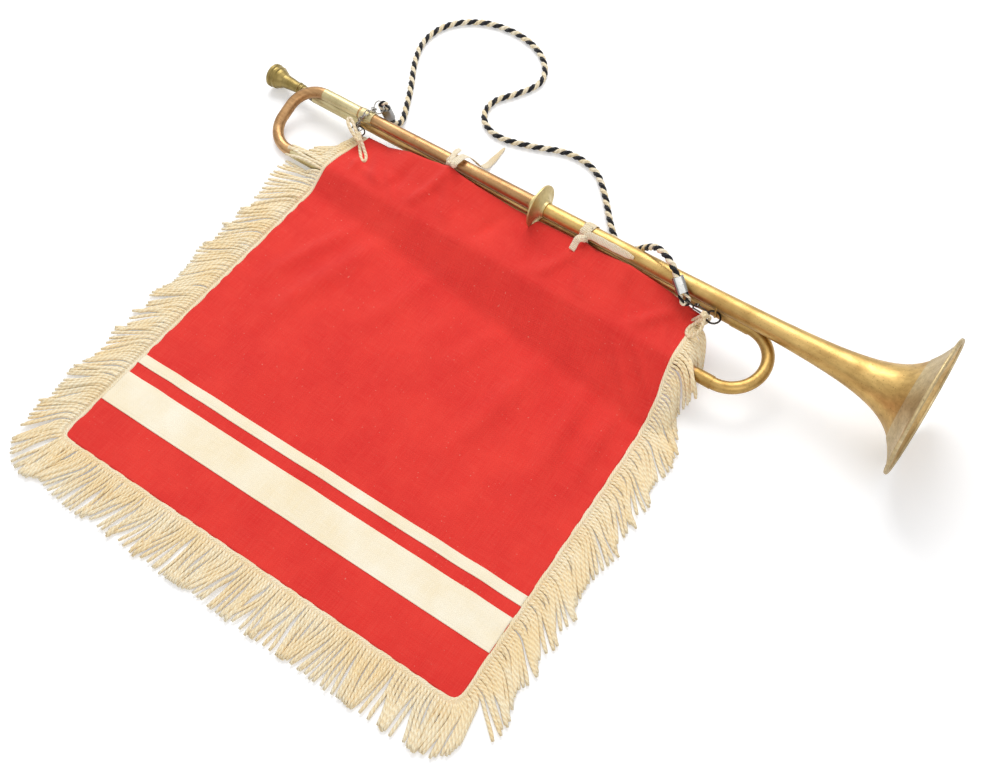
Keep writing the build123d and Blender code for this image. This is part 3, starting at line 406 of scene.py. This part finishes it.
edge_points = [(65, -12), (56, -32), (53, -62), (54, -100), (57.4, -370), (57.9, -406), (58, -424), (77, -423.3),
               (112, -421.9), (420, -410.1), (455, -408.8), (474.8, -408), (473.9, -389), (472, -352),
               (459.5, -100), (453, -85), (448, -50), (446.5, -12)]
edge = [(1000 * p.x, 1000 * p.y) for p in soft_line([(x / 1000, y / 1000, 0) for x, y in edge_points], 0.001)]
low_left = min(range(len(edge)), key=lambda k: edge[k][0] * 0.7 + edge[k][1])
low_right = min(range(len(edge)), key=lambda k: -edge[k][0] * 0.7 + edge[k][1])


def along_edge(first, last, share):
    """A point of the cloth's outline between two of its places."""
    k = first + (last - first) * share
    low = min(len(edge) - 2, int(k))
    return [edge[low][j] + (edge[low + 1][j] - edge[low][j]) * (k - low) for j in (0, 1)]


def top_edge(share):
    """The upper edge, which is cut out round the boss."""
    x = 65 + (446.5 - 65) * share
    dip = max(0.0, 1 - abs(x - 265) / 5.2)
    shy = 0.0 if 160 < x < 325 else 1.4
    return x, -9.8 - shy * (1 - math.exp(-(max(160 - x, x - 325, 0.0) / 14) ** 2)) - 8.0 * dip


def on_cloth(u, v):
    """The place on the cloth, u across it and v from its upper edge down, in mm."""
    u = u - 0.0165 * math.sin(2 * math.pi * (u - 0.5242)) * math.exp(-((u - 0.5242) / 0.16) ** 2)
    top, low = top_edge(u), along_edge(low_left, low_right, u)
    left, right = along_edge(0, low_left, v), along_edge(len(edge) - 1, low_right, v)
    corners = edge[0], edge[-1], edge[low_left], edge[low_right]
    return [(1 - v) * top[j] + v * low[j] + (1 - u) * left[j] + u * right[j]
            - (1 - u) * (1 - v) * corners[0][j] - u * (1 - v) * corners[1][j]
            - (1 - u) * v * corners[2][j] - u * v * corners[3][j] for j in (0, 1)]


def woven(name, pale, deep, slub, weave):
    """Plain-woven cotton: threads 1.3 mm apart here, drawn coarser than real so that they show."""
    material = new_material(name)
    tree = material.node_tree
    cut = add(tree, "ShaderNodeUVMap", uv_map="cut")
    threads = []
    for across, along in (((40, 1500, 1), "X"), ((1500, 40, 1), "Y")):
        stretch = add(tree, "ShaderNodeMapping", {"Vector": cut.outputs[0], "Scale": across})
        uneven = add(tree, "ShaderNodeTexNoise", {"Vector": stretch.outputs[0], "Scale": 1.0, "Detail": 2.0})
        threads.append(uneven)
    slubs = add(tree, "ShaderNodeMath", {0: threads[0].outputs[0], 1: threads[1].outputs[0]}, operation="ADD")
    place = add(tree, "ShaderNodeSeparateXYZ", {0: cut.outputs[0]})
    waves = []
    for way in ("X", "Y"):
        turns = add(tree, "ShaderNodeMath", {0: place.outputs[way], 1: 2 * math.pi / 0.0026},
                    operation="MULTIPLY")
        waves.append(add(tree, "ShaderNodeMath", {0: turns.outputs[0]}, operation="SINE"))
    weft = add(tree, "ShaderNodeMath", {0: waves[0].outputs[0], 1: waves[1].outputs[0]}, operation="MULTIPLY")
    here = add(tree, "ShaderNodeTexCoord")
    washed = add(tree, "ShaderNodeTexNoise", {"Vector": here.outputs["Object"], "Scale": 16.0, "Detail": 4.0,
                                              "Roughness": 0.6})
    nubs = add(tree, "ShaderNodeTexNoise", {"Vector": here.outputs["Object"], "Scale": 420.0, "Detail": 1.0})
    fade = add(tree, "ShaderNodeMapRange", {"Value": washed.outputs[0], "From Min": 0.3, "From Max": 0.72})
    ground = add(tree, "ShaderNodeMix", {"Factor": fade.outputs[0], 6: srgb(deep), 7: srgb(pale)},
                 data_type="RGBA")
    thick = add(tree, "ShaderNodeMapRange", {"Value": slubs.outputs[0], "From Min": 0.8, "From Max": 1.35,
                                             "To Min": 0.0, "To Max": slub})
    threaded = add(tree, "ShaderNodeMix", {"Factor": thick.outputs[0], 6: ground.outputs[2], 7: srgb(weave)},
                   data_type="RGBA")
    knots = add(tree, "ShaderNodeMapRange", {"Value": nubs.outputs[0], "From Min": 0.74, "From Max": 0.8,
                                             "To Min": 0.0, "To Max": 0.2})
    colour = add(tree, "ShaderNodeMix", {"Factor": knots.outputs[0], 6: threaded.outputs[2], 7: srgb("f3d9c0")},
                 data_type="RGBA")
    height = add(tree, "ShaderNodeMath", {0: weft.outputs[0], 1: 0.22, 2: slubs.outputs[0]},
                 operation="MULTIPLY_ADD")
    relief = add(tree, "ShaderNodeBump", {"Height": height.outputs[0], "Strength": 0.35, "Distance": 0.0006})
    cloth = add(tree, "ShaderNodeBsdfPrincipled", {
        "Base Color": colour.outputs[2], "Roughness": 0.9, "Specular IOR Level": 0.2, "Sheen Weight": 0.15,
        "Sheen Roughness": 0.5, "Normal": relief.outputs[0]})
    add(tree, "ShaderNodeOutputMaterial", {"Surface": cloth.outputs[0]})
    return material


def spread(name, place, columns, rows, thick, material):
    """Lays a sheet where place(u, v) puts it, with its flat size kept as the UV map cut."""
    shape = bmesh.new()
    uv = shape.loops.layers.uv.new("cut")
    bmesh.ops.create_grid(shape, x_segments=columns, y_segments=rows, size=0.5)
    flat = {}
    for v in shape.verts:
        u, w = v.co.x + 0.5, 0.5 - v.co.y
        v.co, flat[v] = place(u, w)
    for face in shape.faces:
        for loop in face.loops:
            loop[uv].uv = flat[loop.vert]
    bmesh.ops.recalc_face_normals(shape, faces=shape.faces)
    if sum(face.normal.z for face in shape.faces) < 0:
        bmesh.ops.reverse_faces(shape, faces=shape.faces)
    bmesh.ops.solidify(shape, geom=shape.faces, thickness=thick)
    return finished(name, shape, material)


red_cotton = woven("plain-woven cotton, red", "ea3b31", "da2b27", 0.34, "f0574a")


def cloth_place(u, v):
    """A point of the banner's upper face, and its place on the flat cut."""
    x, y = on_cloth(u, v)
    z = cloth_top(x, y) + fold_rise(x, y)
    return at(x, y, z), (0.417 * u, 0.424 * (1 - v))


banner = spread("banner", cloth_place, 210, 150, -0.0009, red_cotton)
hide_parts("banner_cloth")

# Bands: two strips of cream cotton, turned in and stitched on the banner along its lower edge.
# Their stitches run 2 mm from each side, and the cotton is a little stained.
cream_cotton = woven("plain-woven cotton, cream", "fdf4de", "f6e4bd", 0.3, "fffaee")
for name, rise, width in (("wide", 46.0, 34.0), ("narrow", 92.0, 10.0)):
    def band_place(u, v):
        """A point of the band's upper face, turned down a little along both sides."""
        up = rise + width * (1 - v)
        ways = []
        for side in (0, 1):
            foot, head = ((58, -424), (54, -100)) if side == 0 else ((474.8, -408), (459.5, -100))
            height = math.hypot(head[0] - foot[0], head[1] - foot[1])
            share = up / height
            ways.append([foot[j] + (head[j] - foot[j]) * share for j in (0, 1)])
        x, y = [ways[0][j] + (ways[1][j] - ways[0][j]) * (0.0012 + 0.9976 * u) for j in (0, 1)]
        near = min(up - rise, rise + width - up)
        swell = 1.0 - 0.22 * math.exp(-((near - 2.0) / 0.7) ** 2) - 0.25 * math.exp(-near / 0.5)
        return at(x, y, cloth_top(x, y) + fold_rise(x, y) + swell), (0.415 * u, up / 1000)

    made = spread("cream_strip_" + name, band_place, 210, round(width / 0.6), -0.0008, cream_cotton)
    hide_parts("banner_band_" + name)

# Fringe: a narrow braid sewn along three sides, and from it ropes of soft cream cotton, 46 mm long.
# Each rope is a doubled, twisted yarn; they lie a little unevenly, and hang where the edge is raised.
# The fourth colour of each cotton is painted shade, darkening the grooves between its twisted yarns.
fringe_cotton = cotton_yarn("bullion fringe cotton, cream", "fff4d6", "fbe3b2", "d6ac70", 0.0052, 2, 0.36)
braid_cotton = cotton_yarn("braided cotton, cream", "fff4d8", "fae4b6", "d8b47c", 0.0034, 6, 0.24)
outline = [Vector(p) for p in edge]
headings = [(outline[min(k + 1, len(edge) - 1)] - outline[max(k - 1, 0)]).normalized() for k in range(len(edge))]
ropes = {"left": [], "bottom": [], "right": []}
walked, next_rope = 0.0, 1.6
for k in range(1, len(edge)):
    walked += (outline[k] - outline[k - 1]).length
    out = Vector((headings[k].y, -headings[k].x))
    if (outline[k] - Vector((260, -250))).dot(out) < 0:
        out = -out
    stretched = 1.0 + 0.28 * (1 if k in range(low_left - 8, low_left + 9) or
                              k in range(low_right - 8, low_right + 9) else 0)
    if walked * stretched < next_rope or outline[k].y > (-15 if outline[k].x < 200 else -22):
        continue
    next_rope = walked + 2.8
    place = "left" if k < low_left - 14 else "right" if k > low_right + 14 else "bottom"
    ropes[place].append((k, out, walked))
for place, roots in ropes.items():
    shape = bmesh.new()
    for n, (k, out, walked) in enumerate(roots):
        seed = math.sin(walked * 12.9898) * 43758.5453
        chance = [(seed * f) % 1.0 for f in (1.0, 3.7, 7.3, 11.9)]
        root = outline[k] + out * 2.2
        level = cloth_top(*outline[k]) + 0.7
        aside = Vector((-out.y, out.x))
        over = max(0.0, min(1.0, (root.x - 60) / 400))
        if place == "left":
            near_tube = math.exp(-((root.y + 60) / 26) ** 2)
            sweep = Vector((-0.70 - 0.3 * near_tube, -0.71 + 0.55 * near_tube))
        elif place == "right":
            sweep = Vector((0.70, -0.71))
        else:
            sweep = Vector((-0.42 + 0.60 * over ** 1.5, -0.95))
        sweep = (sweep + aside * (0.20 * math.sin(walked / 6.1 + 2 * math.sin(walked / 21)) +
                                  0.16 * (chance[0] - 0.5))).normalized()
        long = 47.5 + 2.0 * (chance[1] - 0.5)
        rest = 1.5 + 1.5 * (n % 2) * chance[3] + 0.9 * chance[2]
        spot, height, slope, line, wide = root.copy(), level, 0.0, [], []
        for m in range(10):
            line.append(at(spot.x, spot.y, height))
            wide.append((0.0031 + 0.0004 * chance[3]) * (1.0 if m < 9 else 0.75))
            turn = min(1.0, (m + 0.6) / 3.4)
            curl = aside * (0.30 * (chance[2] - 0.5) * math.sin(m * 0.7 + 6 * chance[0]))
            way = (out * (1 - turn) + sweep * turn + curl).normalized()
            slope = min(1.25, slope + 0.2) if height > rest + 0.6 else 0.0
            spot += way * (long / 9 * math.cos(slope))
            height -= long / 9 * math.sin(slope)
            axis = 5.814 + 0.0529 * spot.x
            off = abs(spot.y + 63.4)
            under = rest
            if off < 7.7 and height > axis - 1:
                under = axis + math.sqrt(7.7 ** 2 - off ** 2) + 0.4
            if height < under:
                height, slope = under, 0.0
        lay_up(shape, line, wide, [0.85 * w for w in wide], side=(aside.x, aside.y, 0), sides=6)
    made = finished("fringe_ropes_" + place, shape, fringe_cotton)
    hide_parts("fringe_" + place)
shape = bmesh.new()
braid, outward = [], []
for k in range(2, len(edge) - 2, 3):
    out = Vector((headings[k].y, -headings[k].x))
    if (outline[k] - Vector((260, -250))).dot(out) < 0:
        out = -out
    spot = outline[k] + out * 1.2
    braid.append(at(spot.x, spot.y, cloth_top(*outline[k]) + 0.55))
    outward.append((out.x, out.y, 0))
lay_up(shape, braid, 0.0042, 0.0026, side=outward, sides=10)
made = finished("fringe_braid", shape, braid_cotton)

# Tape ties: a turn of cream cotton tape round both tubes, knotted in front with its ends left long.
# One end of the left tie goes over the tube and lies on the table; one of the right lies along it.
def on_horn(x, y, z):
    """A point in mm from the sloping bell tube's own axis, in the frame's metres."""
    lean = math.radians(3.0317)
    return at(x * math.cos(lean) - z * math.sin(lean), y, 29.234 + x * math.sin(lean) + z * math.cos(lean))


def over_bell(x):
    """Distance in mm from the bell tube's axis to the middle of a tape that lies on it."""
    return 6.3 + 53.8 * (29.5 / (649.4 - x + 29.5)) ** 1.6 + 1.15


# The fourth colour is painted shade, darkening the hollows between the tape's ribs.
tape_cotton = cotton_yarn("woven cotton tape, cream", "fdf2da", "f2dcb0", "c9a570", 0.0016, 0, 0.2)
for name, x, gap, radius in (("left", 165, 13.84, 6.9), ("right", 320, 14.73, 8.3)):
    turn = []
    for n in range(56):
        share = 2 * math.pi * n / 56
        middle = 0.0 if math.cos(share) > 0 else -gap
        turn.append(on_horn(x + 1.2 * math.sin(share), radius * math.sin(share), middle + radius * math.cos(share)))
        if n in (13, 41):
            turn.append(on_horn(x, radius * math.sin(share), -gap / 2))
    wide = [0.0102 + 0.0009 * math.sin(n * 0.9) for n in range(len(turn))]
    shape = bmesh.new()
    lay_up(shape, turn, wide, 0.0011, side=(1, 0, 0), sides=12, closed=True)
    knot = Vector((170, -8.5, 46.5)) if name == "left" else Vector((321, -11.5, 50))
    for spin, tilt, big, broad in ((0.2, 0.5, 2.7, 4.6), (1.5, -0.6, 2.4, 4.0), (2.6, 0.9, 2.0, 3.4)):
        normal = Vector((math.cos(spin) * math.cos(tilt), math.sin(spin) * math.cos(tilt), math.sin(tilt)))
        u = normal.orthogonal().normalized()
        w = normal.cross(u)
        loop = [at(*(knot + (u * math.cos(a) + w * math.sin(a) * 0.86) * big))
                for a in [2 * math.pi * k / 20 for k in range(20)]]
        lay_up(shape, loop, broad / 1000, 0.0017, side=tuple(normal), sides=10, closed=True)
    if name == "left":
        tails = [
            ([(170, -9, 48.5), (172, -4, 50.6), (173, 4, 49.6), (173, 12, 40), (173.5, 20, 27), (173, 30, 8),
              (173, 40, 1.0), (173.4, 52, 1.2), (173, 70, 0.9)], 7.6, 2.2, (1, 0, 0)),
            ([(168, -8, 47), (165, -4.5, 47.6), (162.5, 2, 47.4), (162, 8, 45.6), (161.5, 12, 43.6)], 5.6, 4.4,
             (1, 0, 0)),
            ([(169, -8, 46), (166, -8.5, 46.4), (164.5, -7.2, 45.6)], 6.6, 6.0, (1, 0, 0))]
    else:
        tails = [
            ([(320, -12, 51), (317, -14.5, 50.6), (316, -17, 47.6), (316, -20, 44), (315.5, -23, 41.2)], 7.0, 5.5,
             (1, 0, 0)),
            ([(321, -10.5, 51), *[tuple(1000 * on_horn(
                along, -0.766 * over_bell(along), 0.643 * over_bell(along)) - Vector((-289.51, 201.33, 0)))
                for along in (324, 331, 341, 352, 363, 372)]], 6.8, 3.2, (0, 0.643, 0.766))]
    for points, broad, tip, toward in tails:
        line = soft_line([at(*point) for point in points], 0.0012)
        wide = [(broad + (tip - broad) * max(0.0, (k / len(line) - 0.72) / 0.28) ** 1.5
                 + 0.35 * math.sin(k * 0.55)) / 1000 for k in range(len(line))]
        lay_up(shape, line, wide, 0.0011, side=toward, sides=12)
    made = finished("tie_" + name + "_tape", shape, tape_cotton)
    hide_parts("tie_" + name)

# Corner loops: soft cream cord, sewn to the banner's upper corners and knotted through the rings.
# The left one has two loose bights beside its knot, the right one a single flat one.
# The fourth colour is painted shade, darkening the grooves between the cord's twisted yarns.
loop_cotton = cotton_yarn("twisted cotton cord, cream", "fef2d8", "f3deb0", "c39c62", 0.0044, 2, 0.4)
for name, centre, out, rise, ring, knot, big, bights in (
        ("left", (-229.638, 181.129, 22.642), (0.7357, -0.6774, -0.0069), (0.1961, 0.2032, 0.9594), 4.6,
         (-225.96, 177.742, 23.807), 2.5,
         [[(0, 0, 0), (2, -3.5, None), (8, -9.5, None), (14, -15, None), (17.5, -14.6, None), (16, -9.5, None),
           (8.4, -3.6, None), (1.4, 0.4, 0.6)],
          [(-1.5, -1, 0), (-8, 0.5, 2.5), (-15, 3.5, 5), (-21.0, 7.4, 7.0), (-23.2, 11.2, 8.0), (-19.6, 12.4, 7.4),
           (-12, 7.4, 4.6), (-4.5, 2.6, 1.4), (0, 0.6, 0.4)]]),
        ("right", (165.026, 181.645, 43.523), (-0.5, -0.866, 0), (0, 0, 1), 5.4,
         (163.326, 182.146, 49.923), 3.3,
         [[(0.6, -1.4, -0.9), (-4.6, -3.9, None), (-7.4, -9.5, None), (-6.4, -16.4, None), (-1.5, -19.2, None),
           (3.6, -16.6, -7.9), (4.4, -10.4, -4.6), (2.6, -4.2, -1.6), (0.6, -0.4, 0)],
          [(-0.5, -0.5, -0.5), (-3.5, 0.2, -5.5), (-6.2, 0.4, -11), (-8.4, 0.0, -14.4), (-9.2, -2.0, -15.4)]])):
    centre, out, rise, knot = Vector(centre), Vector(out), Vector(rise), Vector(knot)
    shape = bmesh.new()
    ring_line = [(centre + (out * math.cos(a) + rise * math.sin(a)) * ring) / 1000
                 for a in [2 * math.pi * k / 30 for k in range(30)]]
    lay_up(shape, ring_line, 0.0031, 0.0031, sides=9, closed=True)
    for spin, tilt in ((0.1, 0.4), (1.2, -0.5), (2.2, 0.8)):
        normal = Vector((math.cos(spin) * math.cos(tilt), math.sin(spin) * math.cos(tilt), math.sin(tilt)))
        u = normal.orthogonal().normalized()
        w = normal.cross(u)
        wound = [(knot + (u * math.cos(a) + w * math.sin(a)) * (big - 0.9)) / 1000
                 for a in [2 * math.pi * k / 18 for k in range(18)]]
        lay_up(shape, wound, 0.0031, 0.0031, sides=9, closed=True)
    for bight in bights:
        lying = []
        for x, y, z in bight:
            if z is None:
                z = cloth_top(knot.x + x + 289.51, knot.y + y - 201.33) + 1.9 - knot.z
            lying.append((knot + Vector((x, y, z))) / 1000)
        lay_up(shape, soft_line(lying, 0.0009), 0.0034, 0.0034, sides=9)
    made = finished("corner_cord_" + name, shape, loop_cotton)
    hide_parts("corner_loops_left" if name == "left" else "corner_loop_right")

# Brasswork: drawn tubes and spun bell of brass, never lacquered, handled and polished for decades.
# A brown film lies on it unevenly: lighter where hands rub, with long streaks and dark specks.
def old_brass(name, bright, brown, stain, streak, specks, rough):
    """Brass with its film of tarnish, drawn from the metal's own place in mm."""
    material = new_material(name)
    tree = material.node_tree
    here = add(tree, "ShaderNodeTexCoord")
    patches = add(tree, "ShaderNodeTexNoise", {"Vector": here.outputs["Object"], "Scale": 26.0, "Detail": 6.0,
                                               "Roughness": 0.62, "Distortion": 0.6})
    drawn = add(tree, "ShaderNodeMapping", {"Vector": here.outputs["Object"], "Scale": (9.0, 260.0, 260.0)})
    streaks = add(tree, "ShaderNodeTexNoise", {"Vector": drawn.outputs[0], "Scale": 1.0, "Detail": 4.0})
    fine = add(tree, "ShaderNodeTexNoise", {"Vector": here.outputs["Object"], "Scale": 620.0, "Detail": 3.0,
                                            "Roughness": 0.6})
    film = add(tree, "ShaderNodeMapRange", {"Value": patches.outputs[0], "From Min": 0.36, "From Max": 0.66})
    long = add(tree, "ShaderNodeMapRange", {"Value": streaks.outputs[0], "From Min": 0.4, "From Max": 0.62,
                                            "To Min": 0.0, "To Max": streak})
    ground = add(tree, "ShaderNodeMix", {"Factor": film.outputs[0], 6: srgb(bright), 7: srgb(brown)},
                 data_type="RGBA")
    rubbed = add(tree, "ShaderNodeMix", {"Factor": long.outputs[0], 6: ground.outputs[2], 7: srgb(stain)},
                 data_type="RGBA")
    spots = add(tree, "ShaderNodeMapRange", {"Value": fine.outputs[0], "From Min": 0.6, "From Max": 0.74,
                                             "To Min": 0.0, "To Max": specks})
    colour = add(tree, "ShaderNodeMix", {"Factor": spots.outputs[0], 6: rubbed.outputs[2], 7: srgb("3b2a18")},
                 data_type="RGBA")
    dull = add(tree, "ShaderNodeMapRange", {"Value": patches.outputs[0], "From Min": 0.3, "From Max": 0.7,
                                            "To Min": rough, "To Max": rough + 0.16})
    worn = add(tree, "ShaderNodeMath", {0: spots.outputs[0], 1: 0.35, 2: dull.outputs[0]}, operation="MULTIPLY_ADD")
    height = add(tree, "ShaderNodeMath", {0: fine.outputs[0], 1: 0.25, 2: streaks.outputs[0]},
                 operation="MULTIPLY_ADD")
    relief = add(tree, "ShaderNodeBump", {"Height": height.outputs[0], "Strength": 0.16, "Distance": 0.0004})
    soft = add(tree, "ShaderNodeTexNoise", {"Vector": here.outputs["Object"], "Scale": 60.0, "Detail": 1.0})
    dents = add(tree, "ShaderNodeBump", {"Height": soft.outputs[0], "Strength": 0.22, "Distance": 0.0016,
                                         "Normal": relief.outputs[0]})
    metal = add(tree, "ShaderNodeBsdfPrincipled", {
        "Base Color": colour.outputs[2], "Metallic": 1.0, "Roughness": worn.outputs[0],
        "Normal": dents.outputs[0]})
    add(tree, "ShaderNodeOutputMaterial", {"Surface": metal.outputs[0]})
    return material


def dress(material, *names):
    """Gives CAD nodes their material."""
    for name in names:
        mesh = nodes[name].data
        for k in range(len(mesh.materials)):
            mesh.materials[k] = material
        if not len(mesh.materials):
            mesh.materials.append(material)


# The bell tube, the lower tube and the near bow are of red brass, browned like copper; the mouthpipe is of yellow
# brass, browned too.
red_brass = old_brass("red brass tube, browned", "c8a072", "a27a51", "835f3d", 0.45, 0.5, 0.3)
dress(red_brass, "near_bow", "bell_tube", "lower_tube")
dress(old_brass("yellow brass tube, browned", "cfaa70", "a98552", "876640", 0.45, 0.5, 0.3),
      "mouthpipe")

# The sleeves at the near end are paler: brass with solder washed over it.
dress(old_brass("pale brass sleeve, solder-washed", "ddd0a4", "c1b386", "9e9068", 0.5, 0.35, 0.34),
      "mouthpipe_sleeve", "lower_tube_sleeve", "bell_tube_sleeve", "bell_tube_collar")

# The bell is spun from yellow brass sheet; its garland is folded over the rim and a wire.
dress(old_brass("spun yellow brass, dark patina", "d3b170", "ad8b51", "8a6c40", 0.3, 0.5, 0.37),
      "bell", "bell_rim_wire")
dress(old_brass("sheet brass, paler and greyer", "d0bc92", "ae9a72", "8e7c5a", 0.3, 0.5, 0.38), "bell_garland")
dress(old_brass("yellow brass bow, worn", "c8a668", "a38147", "846536", 0.25, 0.5, 0.34),
      "far_bow", "upper_far_ferrule", "lower_far_ferrule", "banner_eye")

# The boss is two saucers pressed from thin brass and soldered rim to rim over the tube's seam.
dress(old_brass("pressed brass, dull", "dccb98", "b9a674", "988658", 0.2, 0.5, 0.4),
      "boss_near_saucer", "boss_far_saucer")

# The mouthpiece is turned from a solid brass bar, and has gone olive with handling.
dress(old_brass("turned brass, olive", "ad9965", "867443", "6b5c37", 0.2, 0.5, 0.3), "mouthpiece")
dress(old_brass("turned brass, black with tarnish", "6d5a38", "46392a", "31281f", 0.3, 0.5, 0.36),
      "mouthpiece_receiver")

# The small fittings are steel wire and plate: the cord's ferrules nickel-plated and bright,
# the chain and the rings dull grey where the plating has gone, the snap hook nearly black.
dress(old_brass("nickel plate, bright", "a2a2a0", "878785", "6c6a67", 0.2, 0.3, 0.2),
      "cord_ferrule_left", "cord_ferrule_right")
dress(old_brass("steel wire, old nickel plate", "cfcdc8", "88847c", "5c5852", 0.3, 0.5, 0.24),
      "tube_chain", "cord_ring_left")
dress(old_brass("steel wire, blackened", "6e6a64", "34302c", "262320", 0.3, 0.5, 0.3),
      "banner_ring_left", "hanging_ring_right", "snap_hook_body", "snap_hook_gate", "snap_hook_pin")
